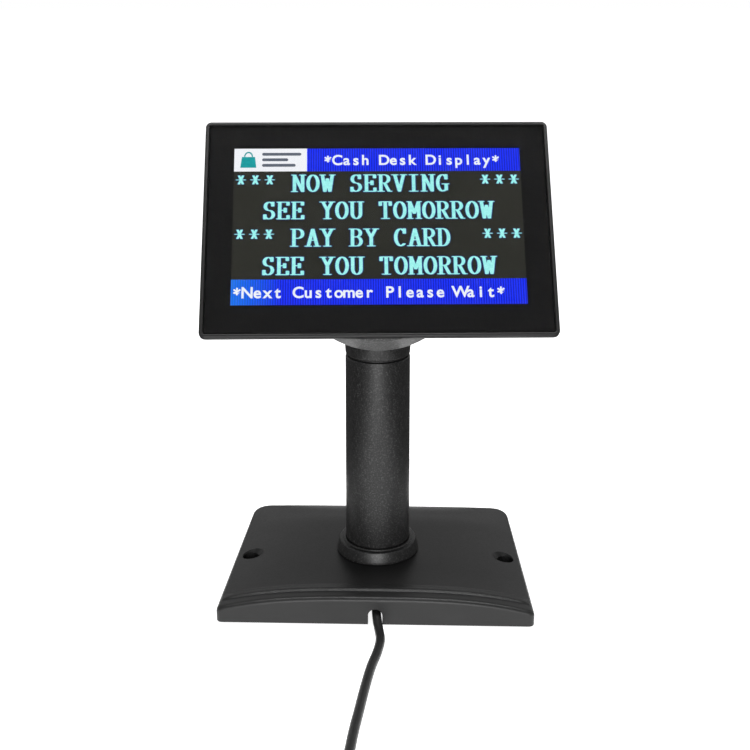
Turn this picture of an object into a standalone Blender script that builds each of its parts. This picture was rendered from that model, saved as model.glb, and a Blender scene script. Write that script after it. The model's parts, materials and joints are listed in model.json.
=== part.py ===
"""Customer pole display: a tilting, swivelling seven-inch display head on a drafted pole and a weighted base.

Lengths are written in millimetres and turned into metres when a mesh is made. +Z is up, the screen
faces -Y, and the origin is on the ground under the middle of the base.
"""
from math import atan2, cos, hypot, pi, radians, sin, sqrt

import bmesh
import bpy
from mathutils import Matrix, Vector

MM = 0.001
WELD = 1e-6                     # metres within which points are one
GAP = 0.3                       # clearance kept between pieces that touch
AXES = {"X": Vector((1, 0, 0)), "Y": Vector((0, 1, 0)), "Z": Vector((0, 0, 1))}
UPRIGHT = {"X": Matrix(((0, 0, 1), (1, 0, 0), (0, 1, 0))), "Y": Matrix(((1, 0, 0), (0, 0, -1), (0, 1, 0))),
           "Z": Matrix.Identity(3)}     # turn +Z to +X, -Y or +Z

# Base shell
BASE_FRONT_Y, BASE_BACK_Y = -66.5, 66.5
BASE_FRONT_HALF, BASE_BACK_HALF = 86.9, 81.9
FRONT_CORNER_R, BACK_CORNER_R = 3.5, 11.0
SKIRT_Z = 0.8                   # underside of the skirt, above the ground
SHOULDER_Z, CROWN_Z = 9.0, 16.8     # height of the top at its sides and along its middle
CROWN_POWER = 3.1               # how flat the arch is across the middle
ROLL_LENGTH = 38.0              # the crown rolls down to the shoulder over this length at the back
EDGE_R = 2.6
SHELL_WALL = 2.4
BEAD_HEIGHT = 1.0               # raised bead that follows the front edge
BEAD_RISE, BEAD_TOP, BEAD_BACK, BEAD_END = 7.2, 9.2, 10.4, 15.8
NOTCH_X, NOTCH_WIDTH, NOTCH_TOP = 0.25, 7.8, 10.0
COUNTER_HOLE_X, COUNTER_HOLE_Y, COUNTER_HOLE_R = 75.3, -7.5, 4.7
SHELL_BOSSES = ((70.0, -52.0), (-70.0, -52.0), (62.0, 50.0), (-62.0, 50.0))
CLAMP_Y, CLAMP_SCREW_X = -42.0, 8.5

# Weight plate and feet
PLATE_Z, PLATE_THICK = 1.3, 3.0
PLATE_SLOT_HALF, PLATE_SLOT_END_Y = 7.0, -47.0
FOOT_R, FOOT_HEIGHT = 6.5, 1.0
FEET = ((56.0, -50.0), (-56.0, -50.0), (48.0, 52.0), (-48.0, 52.0))

# Pole
POLE_Y = -6.5
POLE_TOP_Z, POLE_JOINT_Z, POLE_FOOT_Z = 136.3, 25.3, 5.0
POLE_TOP_R, POLE_JOINT_R, POLE_SPIGOT_R = 18.0, 18.5, 17.9
POLE_WALL = 1.9
FOOT_COLLAR_TOP_Z, FOOT_COLLAR_TOP_R, FOOT_COLLAR_BASE_R = 24.9, 22.2, 23.8
POLE_SCREW_X = 12.5

# Neck: the yoke turns on the pole
NECK_Z, NECK_TOP_Z = 137.6, 145.2
NECK_R, NECK_RIM_R = 17.95, 18.35
TONGUE_HALF, TONGUE_R = 8.5, 8.5
STEM_R, STEM_BORE_R = 6.0, 3.6

# Head: x across, n back from the front face, s up from the bottom edge
TILT = radians(35.75)           # rest tilt of the screen, back from vertical
SWIVEL = radians(2.9)           # at rest the head is turned a little towards +X
TILT_AXIS = (3.0 * sin(SWIVEL), POLE_Y - 3.0 * cos(SWIVEL), 164.5)    # 3 mm in front of the swivel axis
AXIS_N, AXIS_S = 32.8, 29.0     # where the tilt axis is in the head
HEAD_WIDTH, HEAD_HEIGHT, HEAD_CORNER_R = 185.2, 123.7, 3.2
RIM = 2.0                       # width of the frame's rim around the glass
FRAME_EDGE = 3.4                # depth of the frame's outer edge
LEDGE_INSET = 8.0
GLASS_FRONT, GLASS_THICK = 0.15, 1.1
SCREEN_WIDTH, SCREEN_HEIGHT, SCREEN_S = 153.6, 90.0, 63.0
PANEL_WIDTH, PANEL_HEIGHT = 165.0, 96.6
REAR_FACE_N, REAR_INSET = 15.5, 9.0
DRUM_R, DRUM_WALL = 45.4, 2.2    # round housing on the cover, flush with the head's bottom edge
DRUM_FRONT_N, DRUM_BACK_N = 3.75, 20.0
HINGE_PLATE_R, HINGE_PLATE_S = 27.0, 36.0
HINGE_PLATE_FRONT_N, HINGE_PLATE_BACK_N = 20.3, 22.5
EAR_INNER, EAR_OUTER, EAR_R = 9.6, 16.3, 9.0
BOLT_R = 3.0
HEAD_SCREWS = ((78.0, 9.4), (-78.0, 9.4), (78.0, 114.3), (-78.0, 114.3))
BOARD_SCREW_N = 8.4             # where the heads of the board's screws start; they point back
BOARD_SCREWS = ((52.0, 40.0), (-52.0, 40.0), (52.0, 92.0), (-52.0, 92.0))
HINGE_SCREWS = ((19.0, 21.0), (-19.0, 21.0), (19.0, 51.0), (-19.0, 51.0))
HEAD_LEAD_S = 20.0              # the lead enters the head here

# Lead inside the object, and the free cord
CORD_R = 2.5
LEAD_Z = 8.3
CORD_ROUTE = (                  # hand-chosen points of the free cord, from inside the base to the coil
    (0.0, -34.0, 8.3), (0.0, -41.0, 8.3), (0.0, -48.0, 8.2), (0.4, -56.0, 6.8), (1.0, -64.0, 4.9),
    (1.9, -71.0, 3.4), (2.9, -77.5, 2.7), (3.5, -84.0, 2.6), (2.4, -95.0, 2.6), (-0.4, -109.0, 2.6),
    (-2.8, -126.0, 2.6), (-5.2, -147.0, 2.6), (-7.1, -164.0, 2.6), (-8.3, -178.0, 2.6),
    (-10.2, -192.0, 2.6), (-12.7, -206.0, 2.6), (-15.0, -219.0, 2.6),
)
CORD_STEP = 11.0
COIL_X, COIL_Y, COIL_MEAN_R = 21.7, -243.0, 30.0
COIL_LOW_Z, COIL_WIDTH, COIL_HEIGHT = 1.5, 21.4, 10.8
PLUG_Y, PLUG_Z = COIL_Y - COIL_MEAN_R - 7.8, 4.6    # in line with the coil's outer turn


# ---------------------------------------------------------------- shapes, in millimetres

def start_clean():
    for old in list(bpy.data.objects):
        bpy.data.objects.remove(old, do_unlink=True)
    parts = bpy.data.collections.new("customer_pole_display")
    bpy.context.scene.collection.children.link(parts)
    return parts


PARTS = start_clean()


def shape_of(obj):
    """The object as the viewport evaluates it, as a welded bmesh. The object itself is removed."""
    graph = bpy.context.evaluated_depsgraph_get()
    mesh = bpy.data.meshes.new_from_object(obj.evaluated_get(graph))
    shape = bmesh.new()
    shape.from_mesh(mesh)
    bpy.data.meshes.remove(mesh)
    bpy.data.objects.remove(obj, do_unlink=True)
    bmesh.ops.remove_doubles(shape, verts=shape.verts, dist=0.001)
    return shape


def turned(profile, steps=48, closed=False):
    """Turns (radius, z) points about Z. A closed profile makes a ring; otherwise its ends are on the axis."""
    mesh = bpy.data.meshes.new("profile")
    links = [(i, i + 1) for i in range(len(profile) - 1)] + ([(len(profile) - 1, 0)] if closed else [])
    mesh.from_pydata([(radius, 0.0, z) for radius, z in profile], links, [])
    guide = bpy.data.objects.new("profile", mesh)
    PARTS.objects.link(guide)
    turn = guide.modifiers.new("turn", "SCREW")
    turn.steps = turn.render_steps = steps
    turn.use_merge_vertices, turn.merge_threshold = True, 0.0001
    return shape_of(guide)


def prism(outline, low, high, along="Z"):
    """Extrudes a flat outline: (x, y) along Z, (y, z) along X, or (x, z) along Y."""
    curve = bpy.data.curves.new("outline", "CURVE")
    curve.dimensions, curve.fill_mode, curve.extrude = "2D", "BOTH", (high - low) / 2
    spline = curve.splines.new("POLY")
    spline.points.add(len(outline) - 1)
    for spot, (across, up) in zip(spline.points, outline):
        spot.co = (across, up, 0.0, 1.0)
    spline.use_cyclic_u = True
    guide = bpy.data.objects.new("outline", curve)
    PARTS.objects.link(guide)
    return stood(shape_of(guide), along, (low + high) / 2)


def stood(shape, along, middle):
    """Turns what was built along Z to point along another axis, with its middle at the distance given."""
    bmesh.ops.rotate(shape, matrix=UPRIGHT[along], verts=shape.verts)
    bmesh.ops.translate(shape, vec=AXES[along] * middle, verts=shape.verts)
    return shape


def box(low, high):
    shape = bmesh.new()
    bmesh.ops.create_cube(shape, size=1.0)
    bmesh.ops.scale(shape, vec=[b - a for a, b in zip(low, high)], verts=shape.verts)
    bmesh.ops.translate(shape, vec=[(a + b) / 2 for a, b in zip(low, high)], verts=shape.verts)
    return shape


def rod(radius, low, high, along="Z", centre=(0.0, 0.0), steps=24):
    """A cylinder, with its centre given in the plane across it as for a prism."""
    shape = bmesh.new()
    bmesh.ops.create_cone(shape, cap_ends=True, segments=steps, radius1=radius, radius2=radius, depth=high - low)
    bmesh.ops.translate(shape, vec=(*centre, 0.0), verts=shape.verts)
    return stood(shape, along, (low + high) / 2)


def loft(loops, closed=False):
    """Joins loops of equal length but unlike shape. Open stacks get a flat cap at each end."""
    shape = bmesh.new()
    rings = [[shape.verts.new(point) for point in loop] for loop in loops]
    for low, high in zip(rings, rings[1:] + rings[:1] if closed else rings[1:]):
        for i in range(len(low)):
            j = (i + 1) % len(low)
            shape.faces.new((low[i], low[j], high[j], high[i]))
    if not closed:
        shape.faces.new(rings[0])
        shape.faces.new(rings[-1])
    return shape


def circle(radius, steps, centre=(0.0, 0.0)):
    return [(centre[0] + radius * cos(2 * pi * i / steps), centre[1] + radius * sin(2 * pi * i / steps))
            for i in range(steps)]


def rounded_rectangle(width, height, radius, centre=(0.0, 0.0), steps=4):
    points = []
    for quarter, (side, end) in enumerate(((1, 1), (-1, 1), (-1, -1), (1, -1))):
        cx, cy = centre[0] + side * (width / 2 - radius), centre[1] + end * (height / 2 - radius)
        for i in range(steps + 1):
            angle = pi / 2 * (quarter + i / steps)
            points.append((cx + radius * cos(angle), cy + radius * sin(angle)))
    return points


def moved(shape, x=0.0, y=0.0, z=0.0):
    bmesh.ops.translate(shape, vec=(x, y, z), verts=shape.verts)
    return shape


def pointing(shape, along):
    """Turns a shape built along +Z so that it points along +X or, for "Y", along -Y."""
    bmesh.ops.rotate(shape, matrix=UPRIGHT[along], verts=shape.verts)
    return shape


# ---------------------------------------------------------------- objects, in metres

def material(name, colour, roughness, metallic=0.0):
    made = bpy.data.materials.new(name)
    made.use_nodes = True
    shader = made.node_tree.nodes["Principled BSDF"]
    shader.inputs["Base Color"].default_value = (*colour, 1.0)
    shader.inputs["Roughness"].default_value = roughness
    shader.inputs["Metallic"].default_value = metallic
    return made


HOUSING = material("housing_plastic", (0.030, 0.030, 0.031), 0.42)
COATING = material("textured_coating", (0.030, 0.030, 0.030), 0.48)
DARK_PLASTIC = material("dark_plastic", (0.012, 0.012, 0.012), 0.55)
GLASS = material("cover_glass", (0.012, 0.012, 0.013), 0.08)
SCREEN = material("screen", (0.02, 0.03, 0.09), 0.3)
STEEL = material("zinc_steel", (0.62, 0.63, 0.64), 0.32, 1.0)
BLACK_STEEL = material("black_steel", (0.05, 0.05, 0.05), 0.40, 1.0)
CIRCUIT = material("circuit_board", (0.02, 0.16, 0.06), 0.45)
POLYIMIDE = material("ribbon", (0.50, 0.26, 0.05), 0.4)
RUBBER = material("rubber", (0.018, 0.018, 0.018), 0.8)
CORD_PVC = material("cord_pvc", (0.014, 0.014, 0.014), 0.45)
WHITE_PLASTIC = material("white_plastic", (0.75, 0.75, 0.73), 0.45)


def solid(name, shape, finish=None):
    """Makes an object from a shape in millimetres, with its faces turned outwards and shaded smooth."""
    bmesh.ops.scale(shape, vec=(MM, MM, MM), verts=shape.verts)
    mesh = bpy.data.meshes.new(name)
    finished(shape, mesh)
    obj = bpy.data.objects.new(name, mesh)
    if finish:
        obj.data.materials.append(finish)
    PARTS.objects.link(obj)
    return obj


def finished(shape, mesh):
    """Writes the shape to the mesh, merged, facing outwards and smooth but for its sharp edges."""
    bmesh.ops.remove_doubles(shape, verts=shape.verts, dist=WELD)
    bmesh.ops.dissolve_degenerate(shape, edges=shape.edges, dist=WELD)
    bmesh.ops.recalc_face_normals(shape, faces=shape.faces)
    for face in shape.faces:
        face.smooth = True
    shape.to_mesh(mesh)
    shape.free()
    mesh.set_sharp_from_angle(angle=radians(35))


def combine(target, shapes, operation):
    """Adds shapes to the target, or cuts them from it, one exact Boolean after another."""
    for shape in shapes:
        tool = solid("tool", shape)
        step = target.modifiers.new("combine", "BOOLEAN")
        step.solver, step.operation, step.object = "EXACT", operation, tool
        graph = bpy.context.evaluated_depsgraph_get()
        result = bpy.data.meshes.new_from_object(target.evaluated_get(graph))
        target.modifiers.clear()
        bpy.data.objects.remove(tool, do_unlink=True)
        work = bmesh.new()
        work.from_mesh(result)
        bpy.data.meshes.remove(result)
        bmesh.ops.remove_doubles(work, verts=work.verts, dist=2 * WELD)
        bmesh.ops.dissolve_limit(work, angle_limit=radians(0.08), verts=work.verts, edges=work.edges)
        bmesh.ops.triangulate(work, faces=work.faces, quad_method="BEAUTY", ngon_method="BEAUTY")
        finished(work, target.data)
    return target


def add(target, *shapes):
    return combine(target, shapes, "UNION")


def cut(target, *shapes):
    return combine(target, shapes, "DIFFERENCE")


def softened(obj, width):
    """Takes the sharp edges off with a narrow bevel."""
    bevel = obj.modifiers.new("soft_edges", "BEVEL")
    bevel.width, bevel.segments = width * MM, 1
    bevel.limit_method, bevel.angle_limit = "ANGLE", radians(50)
    return obj


def pivot(name, location, tilt=0.0, turn=0.0):
    """An empty on a joint's axis, which the moving pieces hang from."""
    empty = bpy.data.objects.new(name, None)
    empty.empty_display_size = 0.02
    empty.location = [value * MM for value in location]
    empty.rotation_euler = (-tilt, 0.0, turn)
    PARTS.objects.link(empty)
    return empty


def carried(parent, pieces):
    for piece in pieces:
        piece.parent = parent


def screw(name, place, length, head_r=2.3, head_height=1.5, shank_r=1.2, along="Z"):
    """A pan-head screw. Its head starts at the place given, and it points up or, along "Y", forward."""
    profile = [(0, 0), (head_r * 0.8, 0), (head_r, head_height * 0.4), (head_r, head_height),
               (shank_r, head_height), (shank_r, length), (0, length)]
    return solid(name, moved(pointing(turned(profile, 12), along), *place), STEEL)


def tube_along(name, points, radius, finish, resolution=3):
    """A round tube with flat ends along millimetre points, read as a poly spline."""
    curve = bpy.data.curves.new(name, "CURVE")
    curve.dimensions = "3D"
    spline = curve.splines.new("POLY")
    spline.points.add(len(points) - 1)
    for spot, point in zip(spline.points, points):
        spot.co = (*(value * MM for value in point), 1.0)
    curve.bevel_depth = radius * MM
    curve.bevel_resolution = resolution
    curve.use_fill_caps = True
    curve.materials.append(finish)
    obj = bpy.data.objects.new(name, curve)
    PARTS.objects.link(obj)
    return obj


def smooth_route(route, step):
    """Points about one step apart on a smooth curve through the route's points."""
    knots = [Vector(point) for point in route]
    knots = [2 * knots[0] - knots[1]] + knots + [2 * knots[-1] - knots[-2]]
    points = []
    for k in range(1, len(knots) - 2):
        before, here, there, after = knots[k - 1:k + 3]
        pieces = max(1, round((there - here).length / step))
        for i in range(pieces):
            t = i / pieces
            points.append(0.5 * ((2 * here) + (there - before) * t
                                 + (2 * before - 5 * here + 4 * there - after) * t * t
                                 + (3 * here - before - 3 * there + after) * t ** 3))
    return points + [knots[-2]]


# ---------------------------------------------------------------- base

def base_half_width(y):
    along = (y - BASE_FRONT_Y) / (BASE_BACK_Y - BASE_FRONT_Y)
    return BASE_FRONT_HALF + (BASE_BACK_HALF - BASE_FRONT_HALF) * along


def smooth_step(value, low, high):
    t = min(max((value - low) / (high - low), 0.0), 1.0)
    return t * t * (3 - 2 * t)


def base_height(x, y):
    """Top surface: arched across, rolled down at the back, with the bead behind the front edge."""
    half = base_half_width(y)
    across = max(0.0, 1 - abs(x / half) ** CROWN_POWER)
    roll = 1 - (1 - min((BASE_BACK_Y - y) / ROLL_LENGTH, 1.0)) ** 2
    behind = y - BASE_FRONT_Y
    bead = smooth_step(behind, BEAD_RISE, BEAD_TOP) * (1 - smooth_step(behind, BEAD_BACK, BEAD_END))
    bead *= smooth_step(half - abs(x), 1.0, 6.0)
    return SHOULDER_Z + (CROWN_Z - SHOULDER_Z) * across * roll + BEAD_HEIGHT * bead


def base_edge_x(y, inset):
    """Half width of the outline at y, with the corners rounded, after moving every edge inwards."""
    front, back = y - BASE_FRONT_Y - inset, BASE_BACK_Y - inset - y
    end, radius = min((front, FRONT_CORNER_R), (back, BACK_CORNER_R))
    radius = max(radius - inset, 0.8)
    half = base_half_width(y) - inset
    return half - radius + sqrt(radius ** 2 - (radius - end) ** 2) if end < radius else half


def edge_drop(x, y, inset, rounding):
    """How far the rounded edge is below the top surface at this point."""
    front, back = y - BASE_FRONT_Y - inset, BASE_BACK_Y - inset - y
    end, radius = min((front, FRONT_CORNER_R), (back, BACK_CORNER_R))
    radius = max(radius - inset, 0.8)
    side = base_half_width(y) - inset - abs(x)
    near = min(side, end)
    if side < radius and end < radius:
        near = radius - hypot(radius - side, radius - end)
    near = min(max(near, 0.0), rounding)
    return rounding - sqrt(rounding ** 2 - (rounding - near) ** 2)


def base_block(inset, drop, rounding, low_z, rows, insets, fractions):
    """A solid under the base's top surface: a grid with rows front to back, its rim drawn down and closed."""
    shape = bmesh.new()
    columns = 2 * (len(insets) + len(fractions)) + 1
    bmesh.ops.create_grid(shape, x_segments=columns - 1, y_segments=len(rows) - 1, size=1.0)
    shape.verts.ensure_lookup_table()
    for r, y in enumerate(rows):
        edge = base_edge_x(y, inset)
        right = [edge - value for value in insets] + [(edge - insets[-1]) * value for value in fractions]
        for c, x in enumerate([-x for x in right] + [0.0] + right[::-1]):
            z = base_height(x, y) - drop - edge_drop(x, y, inset, rounding)
            shape.verts[r * columns + c].co = (x, y, z)
    rim = [edge for edge in shape.edges if edge.is_boundary]
    wall = bmesh.ops.extrude_edge_only(shape, edges=rim)["geom"]
    for vert in wall:
        if isinstance(vert, bmesh.types.BMVert):
            vert.co.z = low_z
    bmesh.ops.edgeloop_fill(shape, edges=[edge for edge in shape.edges if edge.is_boundary])
    return shape


def base_shell():
    bead_rows = (BEAD_RISE, 8.2, BEAD_TOP, BEAD_BACK, 12.2, 14.0, BEAD_END)
    rows = [BASE_FRONT_Y + u for u in (0, 0.3, 1.1, EDGE_R, *bead_rows, 30, 62)]
    rows += [BASE_BACK_Y - u for u in (38, 30, 23, 17, 12, 8, 5, EDGE_R, 1.1, 0.3, 0)]
    outer = base_block(0.0, 0.0, EDGE_R, SKIRT_Z, rows, (0, 0.3, 1.1, EDGE_R), (0.92, 0.83, 0.72, 0.58, 0.4, 0.2))
    rows = [BASE_FRONT_Y + SHELL_WALL + u for u in (0, 0.8, 40, 80)]
    rows += [BASE_BACK_Y - SHELL_WALL - u for u in (28, 18, 8.6, 4, 1.2, 0)]
    inner = base_block(SHELL_WALL, SHELL_WALL, 0.8, -5.0, rows, (0, 0.8), (0.86, 0.66, 0.4))
    shell = cut(solid("base_shell", outer, HOUSING), inner)
    posts = [rod(22.6, POLE_FOOT_Z, CROWN_Z - 1.0, centre=(0, POLE_Y), steps=40)]
    posts += [rod(4.2, 4.6, base_height(x, y) - 1.2, centre=(x, y), steps=10) for x, y in SHELL_BOSSES]
    for side in (1, -1):
        x = side * COUNTER_HOLE_X
        posts.append(rod(6.4, 4.6, base_height(x + side * 4, POLE_Y) - 1.4, centre=(x, COUNTER_HOLE_Y), steps=20))
        posts.append(rod(3.2, 12.6, 15.6, centre=(side * CLAMP_SCREW_X, CLAMP_Y), steps=12))
    add(shell, *posts)
    notch = [(NOTCH_X + NOTCH_WIDTH / 2 * cos(pi * i / 10), NOTCH_TOP - NOTCH_WIDTH / 2
              + NOTCH_WIDTH / 2 * sin(pi * i / 10)) for i in range(11)]
    notch = [(NOTCH_X + NOTCH_WIDTH / 2, -2.0)] + notch + [(NOTCH_X - NOTCH_WIDTH / 2, -2.0)]
    holes = [prism(notch, BASE_FRONT_Y - 2, BASE_FRONT_Y + 6, "Y"),
             rod(POLE_JOINT_R + 0.35, 0, 30, centre=(0, POLE_Y), steps=40),
             box((-3.6, POLE_Y - 30, 2), (3.6, POLE_Y, 12.2))]
    holes += [rod(1.5, 0, base_height(x, y) - 2.6, centre=(x, y), steps=12) for x, y in SHELL_BOSSES]
    for side in (1, -1):
        centre = (side * COUNTER_HOLE_X, COUNTER_HOLE_Y)
        low = base_height(side * (COUNTER_HOLE_X + 4), POLE_Y)
        holes.append(moved(turned([(0, -2), (COUNTER_HOLE_R, -2), (COUNTER_HOLE_R, low - 0.5),
                                   (COUNTER_HOLE_R + 4, low + 3.5), (0, low + 3.5)], 24), *centre))
        holes.append(rod(1.4, 12, 15.0, centre=(side * CLAMP_SCREW_X, CLAMP_Y), steps=12))
    return cut(shell, *holes)


def weight_plate():
    inset = SHELL_WALL + 0.6
    ys = [BASE_FRONT_Y + inset + u for u in (0, 1.2)] + [BASE_BACK_Y - inset - u for u in (8, 4, 1, 0)]
    right = [(base_edge_x(y, inset), y) for y in ys]
    outline = right + [(-x, y) for x, y in reversed(right)]
    plate = solid("weight_plate", prism(outline, PLATE_Z, PLATE_Z + PLATE_THICK), BLACK_STEEL)
    holes = [box((-PLATE_SLOT_HALF, BASE_FRONT_Y - 5, 0), (PLATE_SLOT_HALF, PLATE_SLOT_END_Y, 8))]
    for x, y in list(SHELL_BOSSES) + [(POLE_SCREW_X, POLE_Y), (-POLE_SCREW_X, POLE_Y)]:
        holes.append(moved(turned([(0, 0), (3.7, 0), (3.7, 3.3), (1.9, 3.3), (1.9, 8), (0, 8)], 12), x, y))
    holes += [rod(2.7, 0, 8, centre=(side * COUNTER_HOLE_X, COUNTER_HOLE_Y), steps=16) for side in (1, -1)]
    return cut(plate, *holes)


def feet():
    profile = [(0, 0), (FOOT_R - 0.6, 0), (FOOT_R, 0.5), (FOOT_R, FOOT_HEIGHT), (0, FOOT_HEIGHT)]
    return [solid(f"foot_{i + 1}", moved(turned(profile, 20), x, y), RUBBER) for i, (x, y) in enumerate(FEET)]


def base_screws():
    made = [screw(f"plate_screw_{i + 1}", (x, y, 1.6), 7.2, 3.3, 1.4, 1.2) for i, (x, y) in enumerate(SHELL_BOSSES)]
    for i, side in enumerate((1, -1)):
        made.append(screw(f"pole_screw_{i + 1}", (side * POLE_SCREW_X, POLE_Y, 1.6), 13.0, 3.3, 1.4, 1.4))
        made.append(screw(f"clamp_screw_{i + 1}", (side * CLAMP_SCREW_X, CLAMP_Y, 4.9), 9.6, 2.4, 1.4, 1.1))
    return made


def lead_clamp():
    outline = rounded_rectangle(24.0, 9.0, 1.5, (0.0, CLAMP_Y))
    clamp = solid("lead_clamp", prism(outline, 4.7, 12.3), DARK_PLASTIC)
    holes = [rod(CORD_R + GAP, CLAMP_Y - 8, CLAMP_Y + 8, "Y", (0.0, LEAD_Z), 16)]
    for side in (1, -1):
        holes.append(moved(turned([(0, 0), (2.8, 0), (2.8, 6.6), (1.5, 6.6), (1.5, 15), (0, 15)], 12),
                           side * CLAMP_SCREW_X, CLAMP_Y))
    return cut(clamp, *holes)


# ---------------------------------------------------------------- pole

def pole_radius(z):
    return POLE_TOP_R + (POLE_JOINT_R - POLE_TOP_R) * (POLE_TOP_Z - z) / (POLE_TOP_Z - POLE_JOINT_Z)


def pole_tube():
    inner = POLE_TOP_R - POLE_WALL
    top = [(inner, POLE_TOP_Z), (POLE_TOP_R - 0.9, POLE_TOP_Z), (POLE_TOP_R - 0.3, POLE_TOP_Z - 0.25),
           (POLE_TOP_R, POLE_TOP_Z - 0.9)]
    middle = [(pole_radius(80.0), 80.0)]
    joint = [(POLE_JOINT_R, POLE_JOINT_Z + 0.7), (POLE_JOINT_R - 0.2, POLE_JOINT_Z + 0.15),
             (POLE_SPIGOT_R, POLE_JOINT_Z), (POLE_SPIGOT_R, POLE_FOOT_Z), (inner, POLE_FOOT_Z)]
    tube = solid("pole_tube", moved(turned(top + middle + joint, 48, True), 0, POLE_Y), COATING)
    return cut(tube, box((-3.6, POLE_Y - 30, 2), (3.6, POLE_Y, 12.2)))


def foot_collar():
    inner = POLE_JOINT_R + 0.15
    profile = [(inner, CROWN_Z + 0.35), (FOOT_COLLAR_BASE_R, CROWN_Z + 0.35), (FOOT_COLLAR_BASE_R, CROWN_Z + 1.2),
               (FOOT_COLLAR_TOP_R + 0.35, FOOT_COLLAR_TOP_Z - 0.9), (FOOT_COLLAR_TOP_R, FOOT_COLLAR_TOP_Z - 0.3),
               (FOOT_COLLAR_TOP_R - 0.7, FOOT_COLLAR_TOP_Z), (inner + 1.2, FOOT_COLLAR_TOP_Z),
               (inner, FOOT_COLLAR_TOP_Z - 1.3)]
    return solid("foot_collar", moved(turned(profile, 48, True), 0, POLE_Y), COATING)


def foot_bush():
    profile = [(9.0, 5.3), (15.7, 5.3), (15.7, 20.0), (9.0, 20.0)]
    bush = solid("foot_bush", moved(turned(profile, 24, True), 0, POLE_Y), DARK_PLASTIC)
    holes = [box((-3.6, POLE_Y - 30, 2), (3.6, POLE_Y, 12.2))]
    holes += [rod(1.7, 0, 15.5, centre=(side * POLE_SCREW_X, POLE_Y), steps=12) for side in (1, -1)]
    return cut(bush, *holes)


def top_bush():
    """Bearing in the pole's top. Its open groove lets the yoke's tab travel between the ends of one land."""
    profile = [(STEM_R + 0.35, 118.0), (15.7, 118.0), (15.7, 136.6), (16.9, 136.6), (16.9, NECK_Z - GAP),
               (STEM_R + 0.35, NECK_Z - GAP)]
    bush = solid("top_bush", moved(turned(profile, 36, True), 0, POLE_Y), DARK_PLASTIC)
    angles = [radians(102 + 336 * i / 28) for i in range(29)]
    groove = [(14.9 * cos(a), 14.9 * sin(a)) for a in angles] + [(11.1 * cos(a), 11.1 * sin(a)) for a in angles[::-1]]
    return cut(bush, moved(prism(groove, 135.9, 139.0), 0, POLE_Y))


def pole_lead():
    """The lead inside: back from the clamp, round a bend and up the pole into the yoke's tongue."""
    bend = 9.0
    points = [(0.0, -33.6, LEAD_Z), (0.0, -24.0, LEAD_Z)]
    points += [(0.0, POLE_Y - bend + bend * sin(pi / 2 * i / 6), LEAD_Z + bend - bend * cos(pi / 2 * i / 6))
               for i in range(7)]
    points += [(0.0, POLE_Y, z) for z in (40.0, 80.0, 120.0, 151.0)]
    return tube_along("pole_lead", points, CORD_R, CORD_PVC)


# ---------------------------------------------------------------- neck

def neck_yoke():
    profile = [(0, NECK_Z), (NECK_R - 0.7, NECK_Z), (NECK_R - 0.2, NECK_Z + 0.2), (NECK_R, NECK_Z + 0.7),
               (NECK_RIM_R, NECK_TOP_Z - 1.6), (NECK_RIM_R - 0.3, NECK_TOP_Z - 0.5), (NECK_RIM_R - 1.4, NECK_TOP_Z),
               (0, NECK_TOP_Z)]
    yoke = solid("neck_yoke", turned(profile, 48), COATING)
    axis_y, axis_z = -3.0, TILT_AXIS[2]
    arc = [(axis_y + TONGUE_R * cos(pi * i / 12), axis_z + TONGUE_R * sin(pi * i / 12)) for i in range(13)]
    tongue = [(axis_y + TONGUE_R, NECK_TOP_Z - 1)] + arc + [(axis_y - TONGUE_R, NECK_TOP_Z - 1)]
    add(yoke, prism(tongue, -TONGUE_HALF, TONGUE_HALF, "X"), box((-2, -14.3, NECK_Z - 1.3), (2, -11.8, NECK_Z + 2)))
    return cut(yoke, rod(BOLT_R + GAP, -12, 12, "X", (axis_y, axis_z), 20), rod(STEM_R + GAP, 130, 143.0, steps=20),
               rod(3.3, 142, 154, steps=16), rod(3.3, -14, 0, "Y", (0.0, 152.0), 16))


def swivel_hardware():
    stem = turned([(STEM_BORE_R, 112.0), (STEM_R, 112.0), (STEM_R, 142.7), (STEM_BORE_R, 142.7)], 20, True)
    washer = turned([(STEM_R + GAP, 117.0), (11.0, 117.0), (11.0, 117.7), (STEM_R + GAP, 117.7)], 20, True)
    nut = solid("swivel_nut", rod(9.2, 112.6, 116.7, steps=6), STEEL)
    cut(nut, rod(STEM_R + GAP, 110, 120, steps=20))
    return [solid("swivel_stem", stem, STEEL), solid("swivel_washer", washer, STEEL), nut]


# ---------------------------------------------------------------- head

def head_loop(inset, n, radius=None, centre_s=HEAD_HEIGHT / 2):
    """A rounded rectangle inset from the head's outline, at depth n, as points about the tilt axis."""
    radius = max(HEAD_CORNER_R - inset, 0.4) if radius is None else radius
    outline = rounded_rectangle(HEAD_WIDTH - 2 * inset, HEAD_HEIGHT - 2 * inset, radius, (0.0, centre_s))
    return [(x, n - AXIS_N, s - AXIS_S) for x, s in outline]


def upright_plate(name, width, height, n_low, n_high, finish, radius=0.8, centre_s=SCREEN_S, edge=0.25):
    """A thin plate parallel to the screen, with softened edges."""
    outline = rounded_rectangle(width, height, radius, (0.0, centre_s), 3)
    shape = moved(prism(outline, n_low, n_high, "Y"), 0, -AXIS_N, -AXIS_S)
    return softened(solid(name, shape, finish), edge)


def head_block(low, high):
    """A box in the head, given as (x, n, s) corners."""
    return moved(box(low, high), 0, -AXIS_N, -AXIS_S)


def head_rod(radius, n_low, n_high, x, s, steps=14):
    return moved(rod(radius, n_low, n_high, "Y", (x, s), steps), 0, -AXIS_N, -AXIS_S)


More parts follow.
